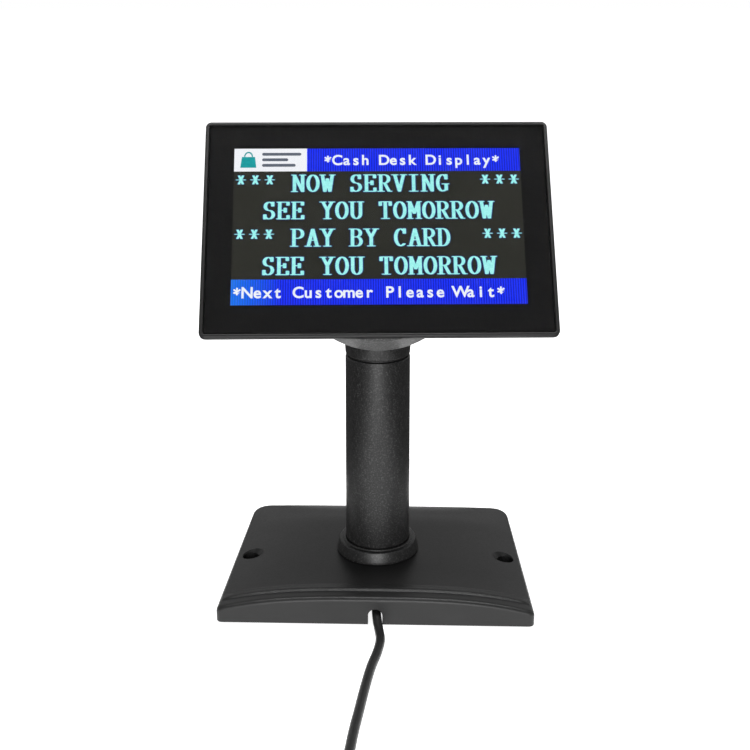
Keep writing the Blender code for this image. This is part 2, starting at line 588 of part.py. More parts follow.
def front_frame():
    back = FRAME_EDGE
    profile = [(0.0, 0.9), (0.12, 0.35), (0.45, 0.06), (0.9, 0.0), (RIM - 0.35, 0.0), (RIM, 0.25), (RIM, 1.55),
               (LEDGE_INSET, 1.55), (LEDGE_INSET, 3.0), (4.1, 3.0), (4.1, 4.8), (2.9, 4.8), (2.9, back), (0.0, back)]
    frame = solid("front_frame", loft([head_loop(inset, n) for inset, n in profile], True), HOUSING)
    for x, s in HEAD_SCREWS:
        add(frame, head_rod(2.7, 2.0, 9.0, x, s))
    return cut(frame, *[head_rod(1.35, 4.0, 12.0, x, s, 12) for x, s in HEAD_SCREWS])


def screen_stack():
    """Cover glass, the panel bonded behind it, and the can with the backlight."""
    inset = RIM + GAP
    return [upright_plate("cover_glass", HEAD_WIDTH - 2 * inset, HEAD_HEIGHT - 2 * inset, GLASS_FRONT,
                          GLASS_FRONT + GLASS_THICK, GLASS, 1.4, HEAD_HEIGHT / 2, 0.15),
            upright_plate("lcd_panel", PANEL_WIDTH, PANEL_HEIGHT, 1.55, 3.4, SCREEN),
            upright_plate("backlight_can", PANEL_WIDTH, PANEL_HEIGHT, 3.7, 7.2, STEEL, edge=0.5)]


def controller_board():
    outline = rounded_rectangle(118.0, 66.0, 2.0, (0.0, 66.0), 3)
    board = solid("controller_board", moved(prism(outline, 9.7, 11.1, "Y"), 0, -AXIS_N, -AXIS_S), CIRCUIT)
    parts = [head_block((-24, 11.0, 58), (-10, 12.4, 72)), head_block((6, 11.0, 60), (18, 12.2, 70)),
             head_block((30, 11.0, 44), (44, 12.6, 52)), head_block((-44, 11.0, 80), (-30, 12.8, 90)),
             head_block((24, 11.0, 78), (38, 12.0, 88)), head_block((-8, 11.0, 34), (8, 13.2, 42)),
             head_block((-11, 8.2, 34), (11, 9.8, 38))]
    add(board, *parts)
    return cut(board, *[head_rod(1.4, 8, 13, x, s, 12) for x, s in BOARD_SCREWS])


def panel_ribbon():
    """The flat ribbon: out of the panel's lower edge, round under the can and up to the board's connector."""
    centre = [(2.5, 12.7), (2.5, 11.0), (3.2, 10.0), (4.4, 9.7), (6.4, 9.7), (7.6, 10.2), (8.2, 11.4), (8.5, 14.0),
              (8.7, 24.0), (8.9, 33.6)]
    outer, inner = [], []
    for i, (n, s) in enumerate(centre):
        before, after = centre[max(i - 1, 0)], centre[min(i + 1, len(centre) - 1)]
        angle = atan2(after[1] - before[1], after[0] - before[0])
        outer.append((n + 0.12 * sin(angle) - AXIS_N, s - 0.12 * cos(angle) - AXIS_S))
        inner.append((n - 0.12 * sin(angle) - AXIS_N, s + 0.12 * cos(angle) - AXIS_S))
    return solid("panel_ribbon", prism(outer + inner[::-1], -9.5, 9.5, "X"), POLYIMIDE)


def ear(side):
    """A hinge ear: a plate whose round end is on the tilt axis."""
    low, high = sorted((side * EAR_INNER, side * EAR_OUTER))
    arc = [(EAR_R * cos(a), EAR_R * sin(a)) for a in (radians(-128 + 232 * i / 14) for i in range(15))]
    foot = HINGE_PLATE_BACK_N - 1.0 - AXIS_N
    outline = arc + [(foot, 19.0), (foot, -13.0)]
    return prism(outline, low, high, "X")


def screw_column(x, s):
    """A column from the frame's post to the cover's sloping wall, leaning inwards as the wall does."""
    lean = 1.6 if s < HEAD_HEIGHT / 2 else -1.6
    loops = [[(px, n - AXIS_N, ps - AXIS_S) for px, ps in circle(radius, 16, (x, s + shift))]
             for n, radius, shift in ((9.3, 3.8, 0.0), (11.5, 3.8, 0.0), (14.0, 3.4, lean))]
    return loft(loops)


def drum():
    """The round housing behind the cover, with a rounded edge at its back."""
    loops = []
    for shrink, n in ((0.0, DRUM_FRONT_N), (0.0, DRUM_BACK_N - 1.0), (0.35, DRUM_BACK_N - 0.3), (1.1, DRUM_BACK_N)):
        loops.append([(x, n - AXIS_N, s - AXIS_S) for x, s in circle(DRUM_R - shrink, 72, (0.0, DRUM_R))])
    return loft(loops)


def rear_cover():
    front = FRAME_EDGE + GAP
    outer = ((0.3, front), (0.7, 4.9), (2.0, 6.9), (REAR_INSET - 2.2, 13.6), (REAR_INSET - 0.6, 15.1),
             (REAR_INSET + 1.2, REAR_FACE_N))
    inner = ((2.3, front - 2.0), (2.3, 5.4), (REAR_INSET - 0.9, 13.5))
    cover = solid("rear_cover", loft([head_loop(i, n, 3.0) for i, n in outer]), COATING)
    columns = [screw_column(x, s) for x, s in HEAD_SCREWS]
    standoffs = [head_rod(2.6, 11.4, 14.5, x, s, 16) for x, s in BOARD_SCREWS]
    bosses = [head_rod(3.2, 14.0, DRUM_BACK_N - 1.0, x, s, 16) for x, s in HINGE_SCREWS]
    add(cover, drum())
    cut(cover, loft([head_loop(i, n, 2.0) for i, n in inner]),
        head_rod(DRUM_R - DRUM_WALL, 5.4, DRUM_BACK_N - DRUM_WALL, 0.0, DRUM_R, 64))
    add(cover, *columns, *standoffs, *bosses)
    holes = []
    for x, s in HEAD_SCREWS:
        holes.append(moved(pointing(turned([(0, 0), (2.7, 0), (2.7, 7.6), (1.6, 7.6), (1.6, 12), (0, 12)], 14), "Y"),
                           x, 18.5 - AXIS_N, s - AXIS_S))
    holes += [head_rod(1.3, 10.0, 14.0, x, s, 12) for x, s in BOARD_SCREWS]
    holes += [head_rod(1.4, 12.0, 22.0, x, s, 12) for x, s in HINGE_SCREWS]
    holes += [head_block((x - 0.9, 12.0, 96.0), (x + 0.9, 17.0, 108.0)) for x in range(-36, 37, 6)]
    holes.append(head_rod(3.4, 16.0, 22.0, 0.0, HEAD_LEAD_S))
    return cut(cover, *holes)


def hinge_plate():
    """The round plate on the back of the drum, with the two ears that hold the tilt bolt."""
    plate = head_rod(HINGE_PLATE_R, HINGE_PLATE_FRONT_N, HINGE_PLATE_BACK_N, 0.0, HINGE_PLATE_S, 64)
    holes = [rod(BOLT_R + GAP, -25, 25, "X", (0.0, 0.0), 20), head_rod(4.0, 18.0, 24.0, 0.0, HEAD_LEAD_S)]
    holes += [head_rod(1.5, 18.0, 24.0, x, s, 12) for x, s in HINGE_SCREWS]
    return cut(add(solid("hinge_plate", plate, COATING), ear(1), ear(-1)), *holes)


def head_screws():
    made = [screw(f"cover_screw_{i + 1}", (x, 12.6 - AXIS_N, s - AXIS_S), 8.0, 2.4, 1.4, 1.1, "Y")
            for i, (x, s) in enumerate(HEAD_SCREWS)]
    made += [screw(f"hinge_plate_screw_{i + 1}", (x, HINGE_PLATE_BACK_N + 1.7 - AXIS_N, s - AXIS_S), 8.4, 2.4, 1.4,
                   1.1, "Y") for i, (x, s) in enumerate(HINGE_SCREWS)]
    for i, (x, s) in enumerate(BOARD_SCREWS):
        place = (x, BOARD_SCREW_N - AXIS_N, s - AXIS_S)
        made.append(screw(f"board_screw_{i + 1}", place, -5.0, 2.2, -1.0, 1.0, "Y"))
    return made


def hinge_hardware():
    """The bolt passes both ears, both washers and the tongue; the nut closes it on the right."""
    ear_face = EAR_OUTER + GAP
    bolt = [(0, -ear_face - 3.2), (4.6, -ear_face - 3.2), (5.4, -ear_face - 2.4), (5.4, -ear_face),
            (BOLT_R, -ear_face), (BOLT_R, ear_face + 5.4), (BOLT_R - 0.6, ear_face + 6.0), (0, ear_face + 6.0)]
    made = [cut(solid("hinge_bolt", pointing(turned(bolt, 20), "X"), BLACK_STEEL),
                rod(2.3, -ear_face - 6, -ear_face - 1.2, "X", steps=6))]
    for name, side in (("hinge_washer_right", 1), ("hinge_washer_left", -1)):
        low, high = sorted((side * (TONGUE_HALF + GAP), side * (EAR_INNER - GAP)))
        ring = [(BOLT_R + GAP, low), (8.0, low), (8.0, high), (BOLT_R + GAP, high)]
        made.append(solid(name, pointing(turned(ring, 20, True), "X"), STEEL))
    nut = solid("hinge_nut", rod(5.6, ear_face, ear_face + 4.8, "X", steps=6), BLACK_STEEL)
    made.append(cut(nut, rod(BOLT_R + GAP, ear_face - 2, ear_face + 8, "X", (0.0, 0.0), 20)))
    return made


# ---------------------------------------------------------------- cord

def cord_pieces():
    cord = tube_along("cord", smooth_route(CORD_ROUTE, CORD_STEP), CORD_R, CORD_PVC)
    middle = (COIL_MEAN_R, COIL_LOW_Z + COIL_HEIGHT / 2)
    section = rounded_rectangle(COIL_WIDTH, COIL_HEIGHT, 2.5, middle, 2)
    coil = solid("cord_coil", moved(turned(section, 32, True), COIL_X, COIL_Y), CORD_PVC)
    return [cord, coil, cord_tie(middle), *plug()]


def cord_tie(middle):
    """A strap around the coil's bundle, on the side away from the incoming cord."""
    outer = rounded_rectangle(COIL_WIDTH + 2.6, COIL_HEIGHT + 2.6, 3.4, middle, 3)
    inner = rounded_rectangle(COIL_WIDTH + 0.7, COIL_HEIGHT + 0.7, 2.6, middle, 3)
    loops = [[(COIL_X + x, COIL_Y + y, z) for x, z in outline]
             for outline, y in ((outer, -3.5), (outer, 3.5), (inner, 3.5), (inner, -3.5))]
    return solid("cord_tie", loft(loops, True), RUBBER)


def plug():
    """The plug lies beside the coil and points along +X."""
    start = COIL_X + sqrt((COIL_MEAN_R + COIL_WIDTH / 2) ** 2 - (COIL_Y - PLUG_Y - 4.2) ** 2) + 0.6
    stations = ((0.0, 6.4, 6.4, 3.1), (9.0, 7.6, 7.0, 3.3), (11.0, 14.6, 7.4, 2.2), (13.0, 15.8, 8.0, 2.4),
                (33.0, 15.8, 8.0, 2.4), (35.0, 15.0, 7.2, 2.2))
    loops = [[(start + x, PLUG_Y + y, PLUG_Z + z) for y, z in rounded_rectangle(width, height, radius, steps=4)]
             for x, width, height, radius in stations]
    body = solid("plug_body", loft(loops), RUBBER)
    face = start + 35.0 + GAP
    outer = rounded_rectangle(12.0, 4.5, 0.5, (PLUG_Y, PLUG_Z), 2)
    shell = solid("plug_shell", prism(outer, face, face + 11.8, "X"), STEEL)
    cut(shell, prism(rounded_rectangle(11.2, 3.7, 0.3, (PLUG_Y, PLUG_Z), 2), face + 0.8, face + 14, "X"))
    insert = prism(rounded_rectangle(10.4, 1.3, 0.2, (PLUG_Y, PLUG_Z - 0.8), 2), face + 1.1, face + 11.0, "X")
    return [body, shell, solid("plug_insert", insert, WHITE_PLASTIC)]


# ---------------------------------------------------------------- assembly

def build():
    base_shell()
    weight_plate()
    feet()
    base_screws()
    lead_clamp()
    pole_tube()
    foot_collar()
    foot_bush()
    top_bush()
    pole_lead()
    cord_pieces()
    swivel_axis = pivot("swivel_axis", (0.0, POLE_Y, 0.0), 0.0, SWIVEL)
    carried(swivel_axis, [neck_yoke(), *swivel_hardware()])
    tilt_axis = pivot("tilt_axis", TILT_AXIS, TILT, SWIVEL)
    carried(tilt_axis, [front_frame(), *screen_stack(), controller_board(), panel_ribbon(), rear_cover(),
                        hinge_plate(), *head_screws(), *hinge_hardware()])


build()
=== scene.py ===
"""Looks of the customer pole display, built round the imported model.

Shapes are written in millimetres and turned into metres when a mesh is made. The screen faces -Y. Head
pieces are drawn as x across, n back from the front face and s up from the bottom edge, then tilted.
"""
import json
from math import cos, hypot, pi, radians, sin, sqrt

import bmesh
import bpy
from mathutils import Matrix, Vector

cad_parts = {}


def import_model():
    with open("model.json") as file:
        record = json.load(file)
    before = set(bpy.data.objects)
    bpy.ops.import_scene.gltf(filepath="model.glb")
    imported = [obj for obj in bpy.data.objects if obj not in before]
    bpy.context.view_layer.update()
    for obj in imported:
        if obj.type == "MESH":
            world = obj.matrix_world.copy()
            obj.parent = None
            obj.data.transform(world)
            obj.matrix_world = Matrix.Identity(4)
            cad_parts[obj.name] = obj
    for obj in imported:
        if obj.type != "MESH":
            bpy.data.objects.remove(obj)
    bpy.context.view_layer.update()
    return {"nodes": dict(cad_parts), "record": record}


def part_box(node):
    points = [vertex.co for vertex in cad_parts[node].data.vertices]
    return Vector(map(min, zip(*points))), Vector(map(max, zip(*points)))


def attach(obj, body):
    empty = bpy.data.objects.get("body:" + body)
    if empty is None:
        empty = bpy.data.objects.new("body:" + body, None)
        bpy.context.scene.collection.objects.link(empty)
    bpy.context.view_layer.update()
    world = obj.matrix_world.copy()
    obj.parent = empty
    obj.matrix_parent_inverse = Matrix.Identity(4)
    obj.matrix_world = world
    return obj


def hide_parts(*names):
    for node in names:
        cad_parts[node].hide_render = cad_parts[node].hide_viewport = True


MM = 0.001
UPRIGHT = {"X": Matrix(((0, 0, 1), (1, 0, 0), (0, 1, 0))), "Y": Matrix(((1, 0, 0), (0, 0, -1), (0, 1, 0))),
           "Z": Matrix.Identity(3)}     # turn +Z to +X, -Y or +Z
AXES = {"X": Vector((1, 0, 0)), "Y": Vector((0, 1, 0)), "Z": Vector((0, 0, 1))}

# Base
BASE_FRONT_Y, BASE_BACK_Y = -66.5, 66.5
BASE_FRONT_HALF, BASE_BACK_HALF = 86.9, 81.9
FRONT_CORNER_R, BACK_CORNER_R = 3.5, 11.0
SKIRT_Z, SHOULDER_Z, CROWN_Z, CROWN_POWER = 0.8, 9.0, 16.8, 3.1
ROLL_LENGTH, EDGE_R, SHELL_WALL = 38.0, 2.6, 2.4
BEAD_HEIGHT, BEAD_RISE, BEAD_TOP, BEAD_BACK, BEAD_END = 1.0, 7.2, 9.2, 10.4, 15.8
NOTCH_X, NOTCH_WIDTH, NOTCH_TOP = 0.25, 7.8, 10.0
COUNTER_HOLE_X, COUNTER_HOLE_Y, COUNTER_HOLE_R = 75.3, -7.5, 4.7

# Pole and neck
POLE_Y = -6.5
POLE_TOP_Z, POLE_JOINT_Z, POLE_FOOT_Z = 136.3, 25.3, 5.0
POLE_TOP_R, POLE_JOINT_R, POLE_SPIGOT_R, POLE_WALL = 18.0, 18.5, 17.9, 1.9
FOOT_COLLAR_TOP_Z, FOOT_COLLAR_TOP_R, FOOT_COLLAR_BASE_R = 24.9, 22.2, 23.8
NECK_Z, NECK_TOP_Z, NECK_R, NECK_RIM_R = 137.6, 145.2, 17.95, 18.35
TONGUE_HALF, TONGUE_R, STEM_R, BOLT_R, GAP = 8.5, 8.5, 6.0, 3.0, 0.3

# Head
TILT, SWIVEL = radians(35.75), radians(2.9)
HEAD_TURN = Matrix.Rotation(SWIVEL, 3, "Z") @ Matrix.Rotation(-TILT, 3, "X")
AXIS_FORWARD, AXIS_Z = 3.0, 164.5      # the tilt axis, in front of the pole's axis
TILT_AXIS = Vector((AXIS_FORWARD * sin(SWIVEL), POLE_Y - AXIS_FORWARD * cos(SWIVEL), AXIS_Z))
AXIS_N, AXIS_S = 32.8, 29.0            # the same axis, from the head's front face and bottom edge
HEAD_WIDTH, HEAD_HEIGHT, HEAD_CORNER_R, RIM, FRAME_EDGE = 185.2, 123.7, 3.2, 2.0, 3.4
SCREEN_WIDTH, SCREEN_HEIGHT, SCREEN_S = 153.6, 90.0, 63.0
PANEL_WIDTH, PANEL_HEIGHT = 165.0, 96.6
REAR_FACE_N, REAR_INSET = 15.5, 9.0
DRUM_R, DRUM_WALL, DRUM_FRONT_N, DRUM_BACK_N = 45.4, 2.2, 3.75, 20.0
DRUM_EXTRA = 1.3      # the drawn drum stands this much below the frame
HINGE_PLATE_R, HINGE_PLATE_S, HINGE_PLATE_FRONT_N, HINGE_PLATE_BACK_N = 27.0, 36.0, 20.3, 22.5
EAR_INNER, EAR_OUTER, EAR_R = 9.6, 16.3, 9.0
HEAD_SCREWS = ((78.0, 9.4), (-78.0, 9.4), (78.0, 114.3), (-78.0, 114.3))
HINGE_SCREWS = ((19.0, 21.0), (-19.0, 21.0), (19.0, 51.0), (-19.0, 51.0))
HEAD_LEAD_S = 20.0

# Cord
CORD_R = 2.5
CORD_ROUTE = (
    (0.0, -34.0, 8.3), (0.0, -41.0, 8.3), (0.0, -48.0, 8.2), (0.4, -56.0, 6.8), (1.0, -64.0, 4.9),
    (1.9, -71.0, 3.4), (2.9, -77.5, 2.7), (3.5, -84.0, 2.6), (2.4, -95.0, 2.6), (-0.4, -109.0, 2.6),
    (-2.8, -126.0, 2.6), (-5.2, -147.0, 2.6), (-7.1, -164.0, 2.6), (-8.3, -178.0, 2.6),
    (-10.2, -192.0, 2.6), (-12.7, -206.0, 2.6), (-15.0, -219.0, 2.6),
)
COIL_X, COIL_Y, COIL_RADII, COIL_PITCH = 21.7, -243.0, (37.8, 32.6, 27.4, 22.2), 5.2
COIL_TURNS, COIL_POINTS = 7.25, 20
CORD_LIE_Z, TIE_LIFT = 2.6, 1.6
PLUG_Z = 4.6

# What the screen shows: columns of a fixed grid, in millimetres
CELL, LETTER_HEIGHT, LETTER_WIDTH = 7.68, 9.7, 6.2
ROW_CENTRES = (87.3, 71.4, 55.7, 39.7)
BAND_HEIGHT, ICON_WIDTH, STRIPE_PITCH = 13.6, 39.0, 1.3
ROWS = (("NOW SERVING", 4, True), ("SEE YOU TOMORROW", 2, False), ("PAY BY CARD", 4, True),
        ("SEE YOU TOMORROW", 2, False))

# Surroundings as lights and reflections see them: (height of the direction, brightness)
WORLD = ((0.0, 0.10), (0.13, 0.22), (0.24, 0.75), (0.42, 0.70), (0.56, 0.16), (1.0, 0.14))
FRONT_POWER, TOP_POWER = 9.0, 7.0
FLOOR_GLOW, BACKDROP_GLOW = 0.85, 1.1


# ---------------------------------------------------------------- camera, light and floor

def camera():
    """The main view: from the front, a little above."""
    lens = bpy.data.cameras.new("camera")
    lens.lens, lens.sensor_width = 53.15, 36.0
    lens.clip_start = 0.05
    seen = bpy.data.objects.new("camera", lens)
    distance, elevation, azimuth = 0.6205, radians(18.59), radians(1.65)
    target = Vector((-0.00156, -0.0065, 0.12387))
    back = Vector((sin(azimuth) * cos(elevation), -cos(azimuth) * cos(elevation), sin(elevation)))
    seen.location = target + back * distance
    seen.rotation_euler = (pi / 2 - elevation, 0.0, azimuth)
    bpy.context.scene.collection.objects.link(seen)
    bpy.context.scene.camera = seen


def area_light(name, place, target, size, power):
    lamp = bpy.data.lights.new(name, "AREA")
    lamp.shape, lamp.size, lamp.size_y, lamp.energy = "RECTANGLE", size[0], size[1], power
    obj = bpy.data.objects.new(name, lamp)
    obj.location = place
    obj.rotation_euler = (Vector(target) - Vector(place)).to_track_quat("-Z", "Y").to_euler()
    bpy.context.scene.collection.objects.link(obj)


def floor_part(name, centre, half_x, half_y, height, glow):
    """An oval of white floor."""
    shape = bmesh.new()
    bmesh.ops.create_circle(shape, cap_ends=True, segments=96, radius=1.0)
    for vert in shape.verts:
        vert.co = (centre[0] + half_x * vert.co.x, centre[1] + half_y * vert.co.y, height)
    bmesh.ops.recalc_face_normals(shape, faces=shape.faces)
    mesh = bpy.data.meshes.new(name)
    shape.to_mesh(mesh)
    shape.free()
    made = bpy.data.materials.new(name)
    made.use_nodes = True
    shader = made.node_tree.nodes["Principled BSDF"]
    shader.inputs["Base Color"].default_value = (0.8, 0.8, 0.8, 1.0)
    shader.inputs["Roughness"].default_value = 0.9
    shader.inputs["Specular IOR Level"].default_value = 0.0
    shader.inputs["Emission Color"].default_value = (1.0, 1.0, 1.0, 1.0)
    shader.inputs["Emission Strength"].default_value = glow
    mesh.materials.append(made)
    floor = bpy.data.objects.new(name, mesh)
    bpy.context.scene.collection.objects.link(floor)
    return floor


def studio():
    """A white floor, a soft front light, and surroundings that are pale low down and dim above."""
    scene = bpy.context.scene
    scene.view_settings.view_transform = "Standard"
    world = bpy.data.worlds.new("studio")
    scene.world = world
    world.use_nodes = True
    nodes, links = world.node_tree.nodes, world.node_tree.links
    back = nodes["Background"]
    ramp = nodes.new("ShaderNodeValToRGB")
    place = nodes.new("ShaderNodeTexCoord")
    parts = nodes.new("ShaderNodeSeparateXYZ")
    links.new(place.outputs["Generated"], parts.inputs[0])
    links.new(parts.outputs["Z"], ramp.inputs[0])
    seen = nodes.new("ShaderNodeLightPath")
    mix = nodes.new("ShaderNodeMix")
    mix.data_type = "RGBA"
    mix.inputs[7].default_value = (1.0, 1.0, 1.0, 1.0)     # the backdrop itself is plain white
    links.new(seen.outputs["Is Camera Ray"], mix.inputs[0])
    links.new(ramp.outputs["Color"], mix.inputs[6])
    links.new(mix.outputs[2], back.inputs["Color"])
    stops = ramp.color_ramp.elements
    stops[0].position, stops[0].color = 0.0, (WORLD[0][1],) * 3 + (1.0,)
    stops[1].position, stops[1].color = 1.0, (WORLD[-1][1],) * 3 + (1.0,)
    for spot, value in WORLD[1:-1]:
        stop = stops.new(spot)
        stop.color = (value, value, value, 1.0)
    area_light("front_box", (0.0, -1.3, 0.30), (0, 0, 0.12), (0.7, 0.5), FRONT_POWER)
    area_light("top_light", (0.0, -0.06, 1.0), (0, -0.06, 0.0), (0.9, 0.2), TOP_POWER)
    floor_part("floor", (0.0, -0.40), 0.18, 0.57, 0.0, FLOOR_GLOW)
    far = floor_part("floor_far", (0.0, 0.0), 60.0, 60.0, -0.0005, BACKDROP_GLOW)
    far.visible_diffuse = far.visible_glossy = False      # a plain backdrop that lights nothing


# ---------------------------------------------------------------- materials

class Finish:
    """A Principled material with a few procedural layers."""

    def __init__(self, name, roughness, metallic=0.0):
        self.made = bpy.data.materials.new(name)
        self.made.use_nodes = True
        self.nodes, self.links = self.made.node_tree.nodes, self.made.node_tree.links
        self.shader = self.nodes["Principled BSDF"]
        self.shader.inputs["Roughness"].default_value = roughness
        self.shader.inputs["Metallic"].default_value = metallic
        self.place = self.nodes.new("ShaderNodeTexCoord")

    def noise(self, scale, detail=2.0, stretch=(1, 1, 1)):
        mapping = self.nodes.new("ShaderNodeMapping")
        mapping.inputs["Scale"].default_value = stretch
        texture = self.nodes.new("ShaderNodeTexNoise")
        texture.inputs["Scale"].default_value = scale
        texture.inputs["Detail"].default_value = detail
        self.links.new(self.place.outputs["Object"], mapping.inputs["Vector"])
        self.links.new(mapping.outputs["Vector"], texture.inputs["Vector"])
        return texture.outputs["Fac"]

    def ramp(self, source, stops):
        made = self.nodes.new("ShaderNodeValToRGB")
        elements = made.color_ramp.elements
        while len(elements) < len(stops):
            elements.new(0.5)
        for element, (position, colour) in zip(elements, stops):
            element.position = position
            element.color = (*colour, 1.0) if isinstance(colour, tuple) else (colour, colour, colour, 1.0)
        self.links.new(source, made.inputs[0])
        return made.outputs["Color"]

    def colour(self, source, stops):
        self.links.new(self.ramp(source, stops), self.shader.inputs["Base Color"])
        return self

    def rough(self, source, low, high):
        self.links.new(self.ramp(source, ((0.3, low), (0.7, high))), self.shader.inputs["Roughness"])
        return self

    def bump(self, source, strength, distance):
        made = self.nodes.new("ShaderNodeBump")
        made.inputs["Strength"].default_value = strength
        made.inputs["Distance"].default_value = distance
        self.links.new(source, made.inputs["Height"])
        self.links.new(made.outputs["Normal"], self.shader.inputs["Normal"])
        return self


def housing_plastic():
    made = Finish("housing_plastic", 0.4)
    made.shader.inputs["Specular IOR Level"].default_value = 0.36
    made.colour(made.noise(30, 4), ((0.35, 0.011), (0.65, 0.015)))
    made.rough(made.noise(900, 3), 0.36, 0.44)
    return made.bump(made.noise(2600, 2), 0.10, 0.0002).made


def textured_coating(name, dark, middle, light):
    made = Finish(name, 0.5)
    made.colour(made.noise(1250, 3), ((0.42, dark), (0.56, middle), (0.68, light)))
    made.rough(made.noise(700, 3), 0.33, 0.45)
    return made.bump(made.noise(1250, 3), 0.26, 0.0003).made


def plain_plastic(name, dark, light, roughness, grain=900):
    made = Finish(name, roughness)
    made.colour(made.noise(60, 4), ((0.35, dark), (0.65, light)))
    made.rough(made.noise(grain, 3), roughness - 0.04, roughness + 0.06)
    return made.bump(made.noise(grain * 2, 2), 0.12, 0.0002).made


def steel(name, dark, light, roughness):
    made = Finish(name, roughness, 1.0)
    made.colour(made.noise(90, 4), ((0.3, dark), (0.7, light)))
    made.rough(made.noise(500, 4), roughness - 0.06, roughness + 0.10)
    return made.bump(made.noise(700, 2), 0.08, 0.0002).made


def glass():
    made = Finish("cover_glass", 0.0)
    made.shader.inputs["Transmission Weight"].default_value = 1.0
    made.shader.inputs["IOR"].default_value = 1.33
    made.colour(made.noise(20, 2), ((0.3, 0.985), (0.7, 1.0)))
    return made.bump(made.noise(14, 1), 0.01, 0.0002).made


def printed_ink():
    made = Finish("printed_ink", 0.5)
    made.shader.inputs["Specular IOR Level"].default_value = 0.1
    return made.colour(made.noise(800, 2), ((0.3, 0.002), (0.7, 0.003))).made


def circuit_board():
    made = Finish("circuit_board", 0.42)
    tracks = made.noise(300, 1, (1, 0.15, 0.15))
    made.colour(tracks, ((0.46, (0.010, 0.085, 0.030)), (0.54, (0.022, 0.17, 0.06))))
    return made.bump(tracks, 0.2, 0.0002).made


def maths(made, operation, first, second=None):
    """A Math node of two values or sockets."""
    node = made.nodes.new("ShaderNodeMath")
    node.operation = operation
    for socket, value in zip(node.inputs, (first, second)):
        if isinstance(value, (int, float)):
            socket.default_value = value
        elif value is not None:
            made.links.new(value, socket)
    return node.outputs[0]


def blended(made, factor, first, second):
    """A colour Mix node of two colours or sockets. Its sockets 6 and 7 take the colours."""
    node = made.nodes.new("ShaderNodeMix")
    node.data_type = "RGBA"
    for socket, value in ((node.inputs[0], factor), (node.inputs[6], first), (node.inputs[7], second)):
        if isinstance(value, tuple):
            socket.default_value = (*value, 1.0)
        else:
            made.links.new(value, socket)
    return node.outputs[2]


def lit_panel():
    """The lit picture: two striped blue bands, a white block at the upper left, and a dark ground."""
    made = Finish("screen", 0.35)
    made.shader.inputs["Base Color"].default_value = (0.004, 0.004, 0.004, 1.0)
    made.shader.inputs["Specular IOR Level"].default_value = 0.1
    split = made.nodes.new("ShaderNodeSeparateXYZ")
    made.links.new(made.place.outputs["UV"], split.inputs[0])
    x, s = split.outputs["X"], split.outputs["Y"]      # millimetres from the lit area's lower left corner
    top = maths(made, "GREATER_THAN", s, SCREEN_HEIGHT - BAND_HEIGHT)
    bottom = maths(made, "LESS_THAN", s, BAND_HEIGHT + 0.6)
    block = maths(made, "MULTIPLY", top, maths(made, "LESS_THAN", x, ICON_WIDTH))
    stripes = maths(made, "SINE", maths(made, "MULTIPLY", x, 2 * pi / STRIPE_PITCH))
    stripes = maths(made, "MULTIPLY_ADD", stripes, 0.5)
    stripes.node.inputs[2].default_value = 0.5
    blue = blended(made, stripes, (0.0, 0.004, 0.50), (0.005, 0.034, 1.0))
    glow = made.nodes.new("ShaderNodeMapRange")
    made.links.new(x, glow.inputs[0])
    glow.inputs[1].default_value, glow.inputs[2].default_value = 26.0, 0.0
    low = maths(made, "MULTIPLY", glow.outputs[0], bottom)
    blue = blended(made, maths(made, "MULTIPLY", low, 0.5), blue, (0.01, 0.30, 0.80))
    ground = made.ramp(made.noise(9, 2), ((0.3, (0.0135, 0.0145, 0.0105)), (0.7, (0.020, 0.020, 0.0150))))
    shown = blended(made, maths(made, "MAXIMUM", top, bottom), ground, blue)
    shown = blended(made, block, shown, (0.86, 0.88, 0.92))
    lit = maths(made, "MULTIPLY", maths(made, "GREATER_THAN", x, 0.0),
                maths(made, "LESS_THAN", x, SCREEN_WIDTH))
    lit = maths(made, "MULTIPLY", lit, maths(made, "GREATER_THAN", s, 0.0))
    lit = maths(made, "MULTIPLY", lit, maths(made, "LESS_THAN", s, SCREEN_HEIGHT))
    shown = blended(made, lit, (0.0, 0.0, 0.0), shown)
    made.links.new(shown, made.shader.inputs["Emission Color"])
    made.shader.inputs["Emission Strength"].default_value = 1.05
    return made.made


def lit_colour(name, dark, light):
    """A lit colour of the screen's picture."""
    made = Finish(name, 0.5)
    made.shader.inputs["Base Color"].default_value = (0.0, 0.0, 0.0, 1.0)
    made.shader.inputs["Specular IOR Level"].default_value = 0.0
    tint = made.ramp(made.noise(500, 2), ((0.3, dark), (0.7, light)))
    made.links.new(tint, made.shader.inputs["Emission Color"])
    made.shader.inputs["Emission Strength"].default_value = 1.0
    return made.made


# ---------------------------------------------------------------- shapes, in millimetres

def moved(shape, x=0.0, y=0.0, z=0.0):
    bmesh.ops.translate(shape, vec=(x, y, z), verts=shape.verts)
    return shape


def stood(shape, along, middle=0.0):
    """Turns a shape made along Z to run along the named axis, then moves it there."""
    bmesh.ops.rotate(shape, matrix=UPRIGHT[along], verts=shape.verts)
    bmesh.ops.translate(shape, vec=AXES[along] * middle, verts=shape.verts)
    return shape


def circle(radius, steps, centre=(0.0, 0.0)):
    return [(centre[0] + radius * cos(2 * pi * i / steps), centre[1] + radius * sin(2 * pi * i / steps))
            for i in range(steps)]


def rounded_rectangle(width, height, radius, centre=(0.0, 0.0), steps=8):
    points = []
    for quarter, (side, end) in enumerate(((1, 1), (-1, 1), (-1, -1), (1, -1))):
        cx, cy = centre[0] + side * (width / 2 - radius), centre[1] + end * (height / 2 - radius)
        for i in range(steps + 1):
            angle = pi / 2 * (quarter + i / steps)
            points.append((cx + radius * cos(angle), cy + radius * sin(angle)))
    return points


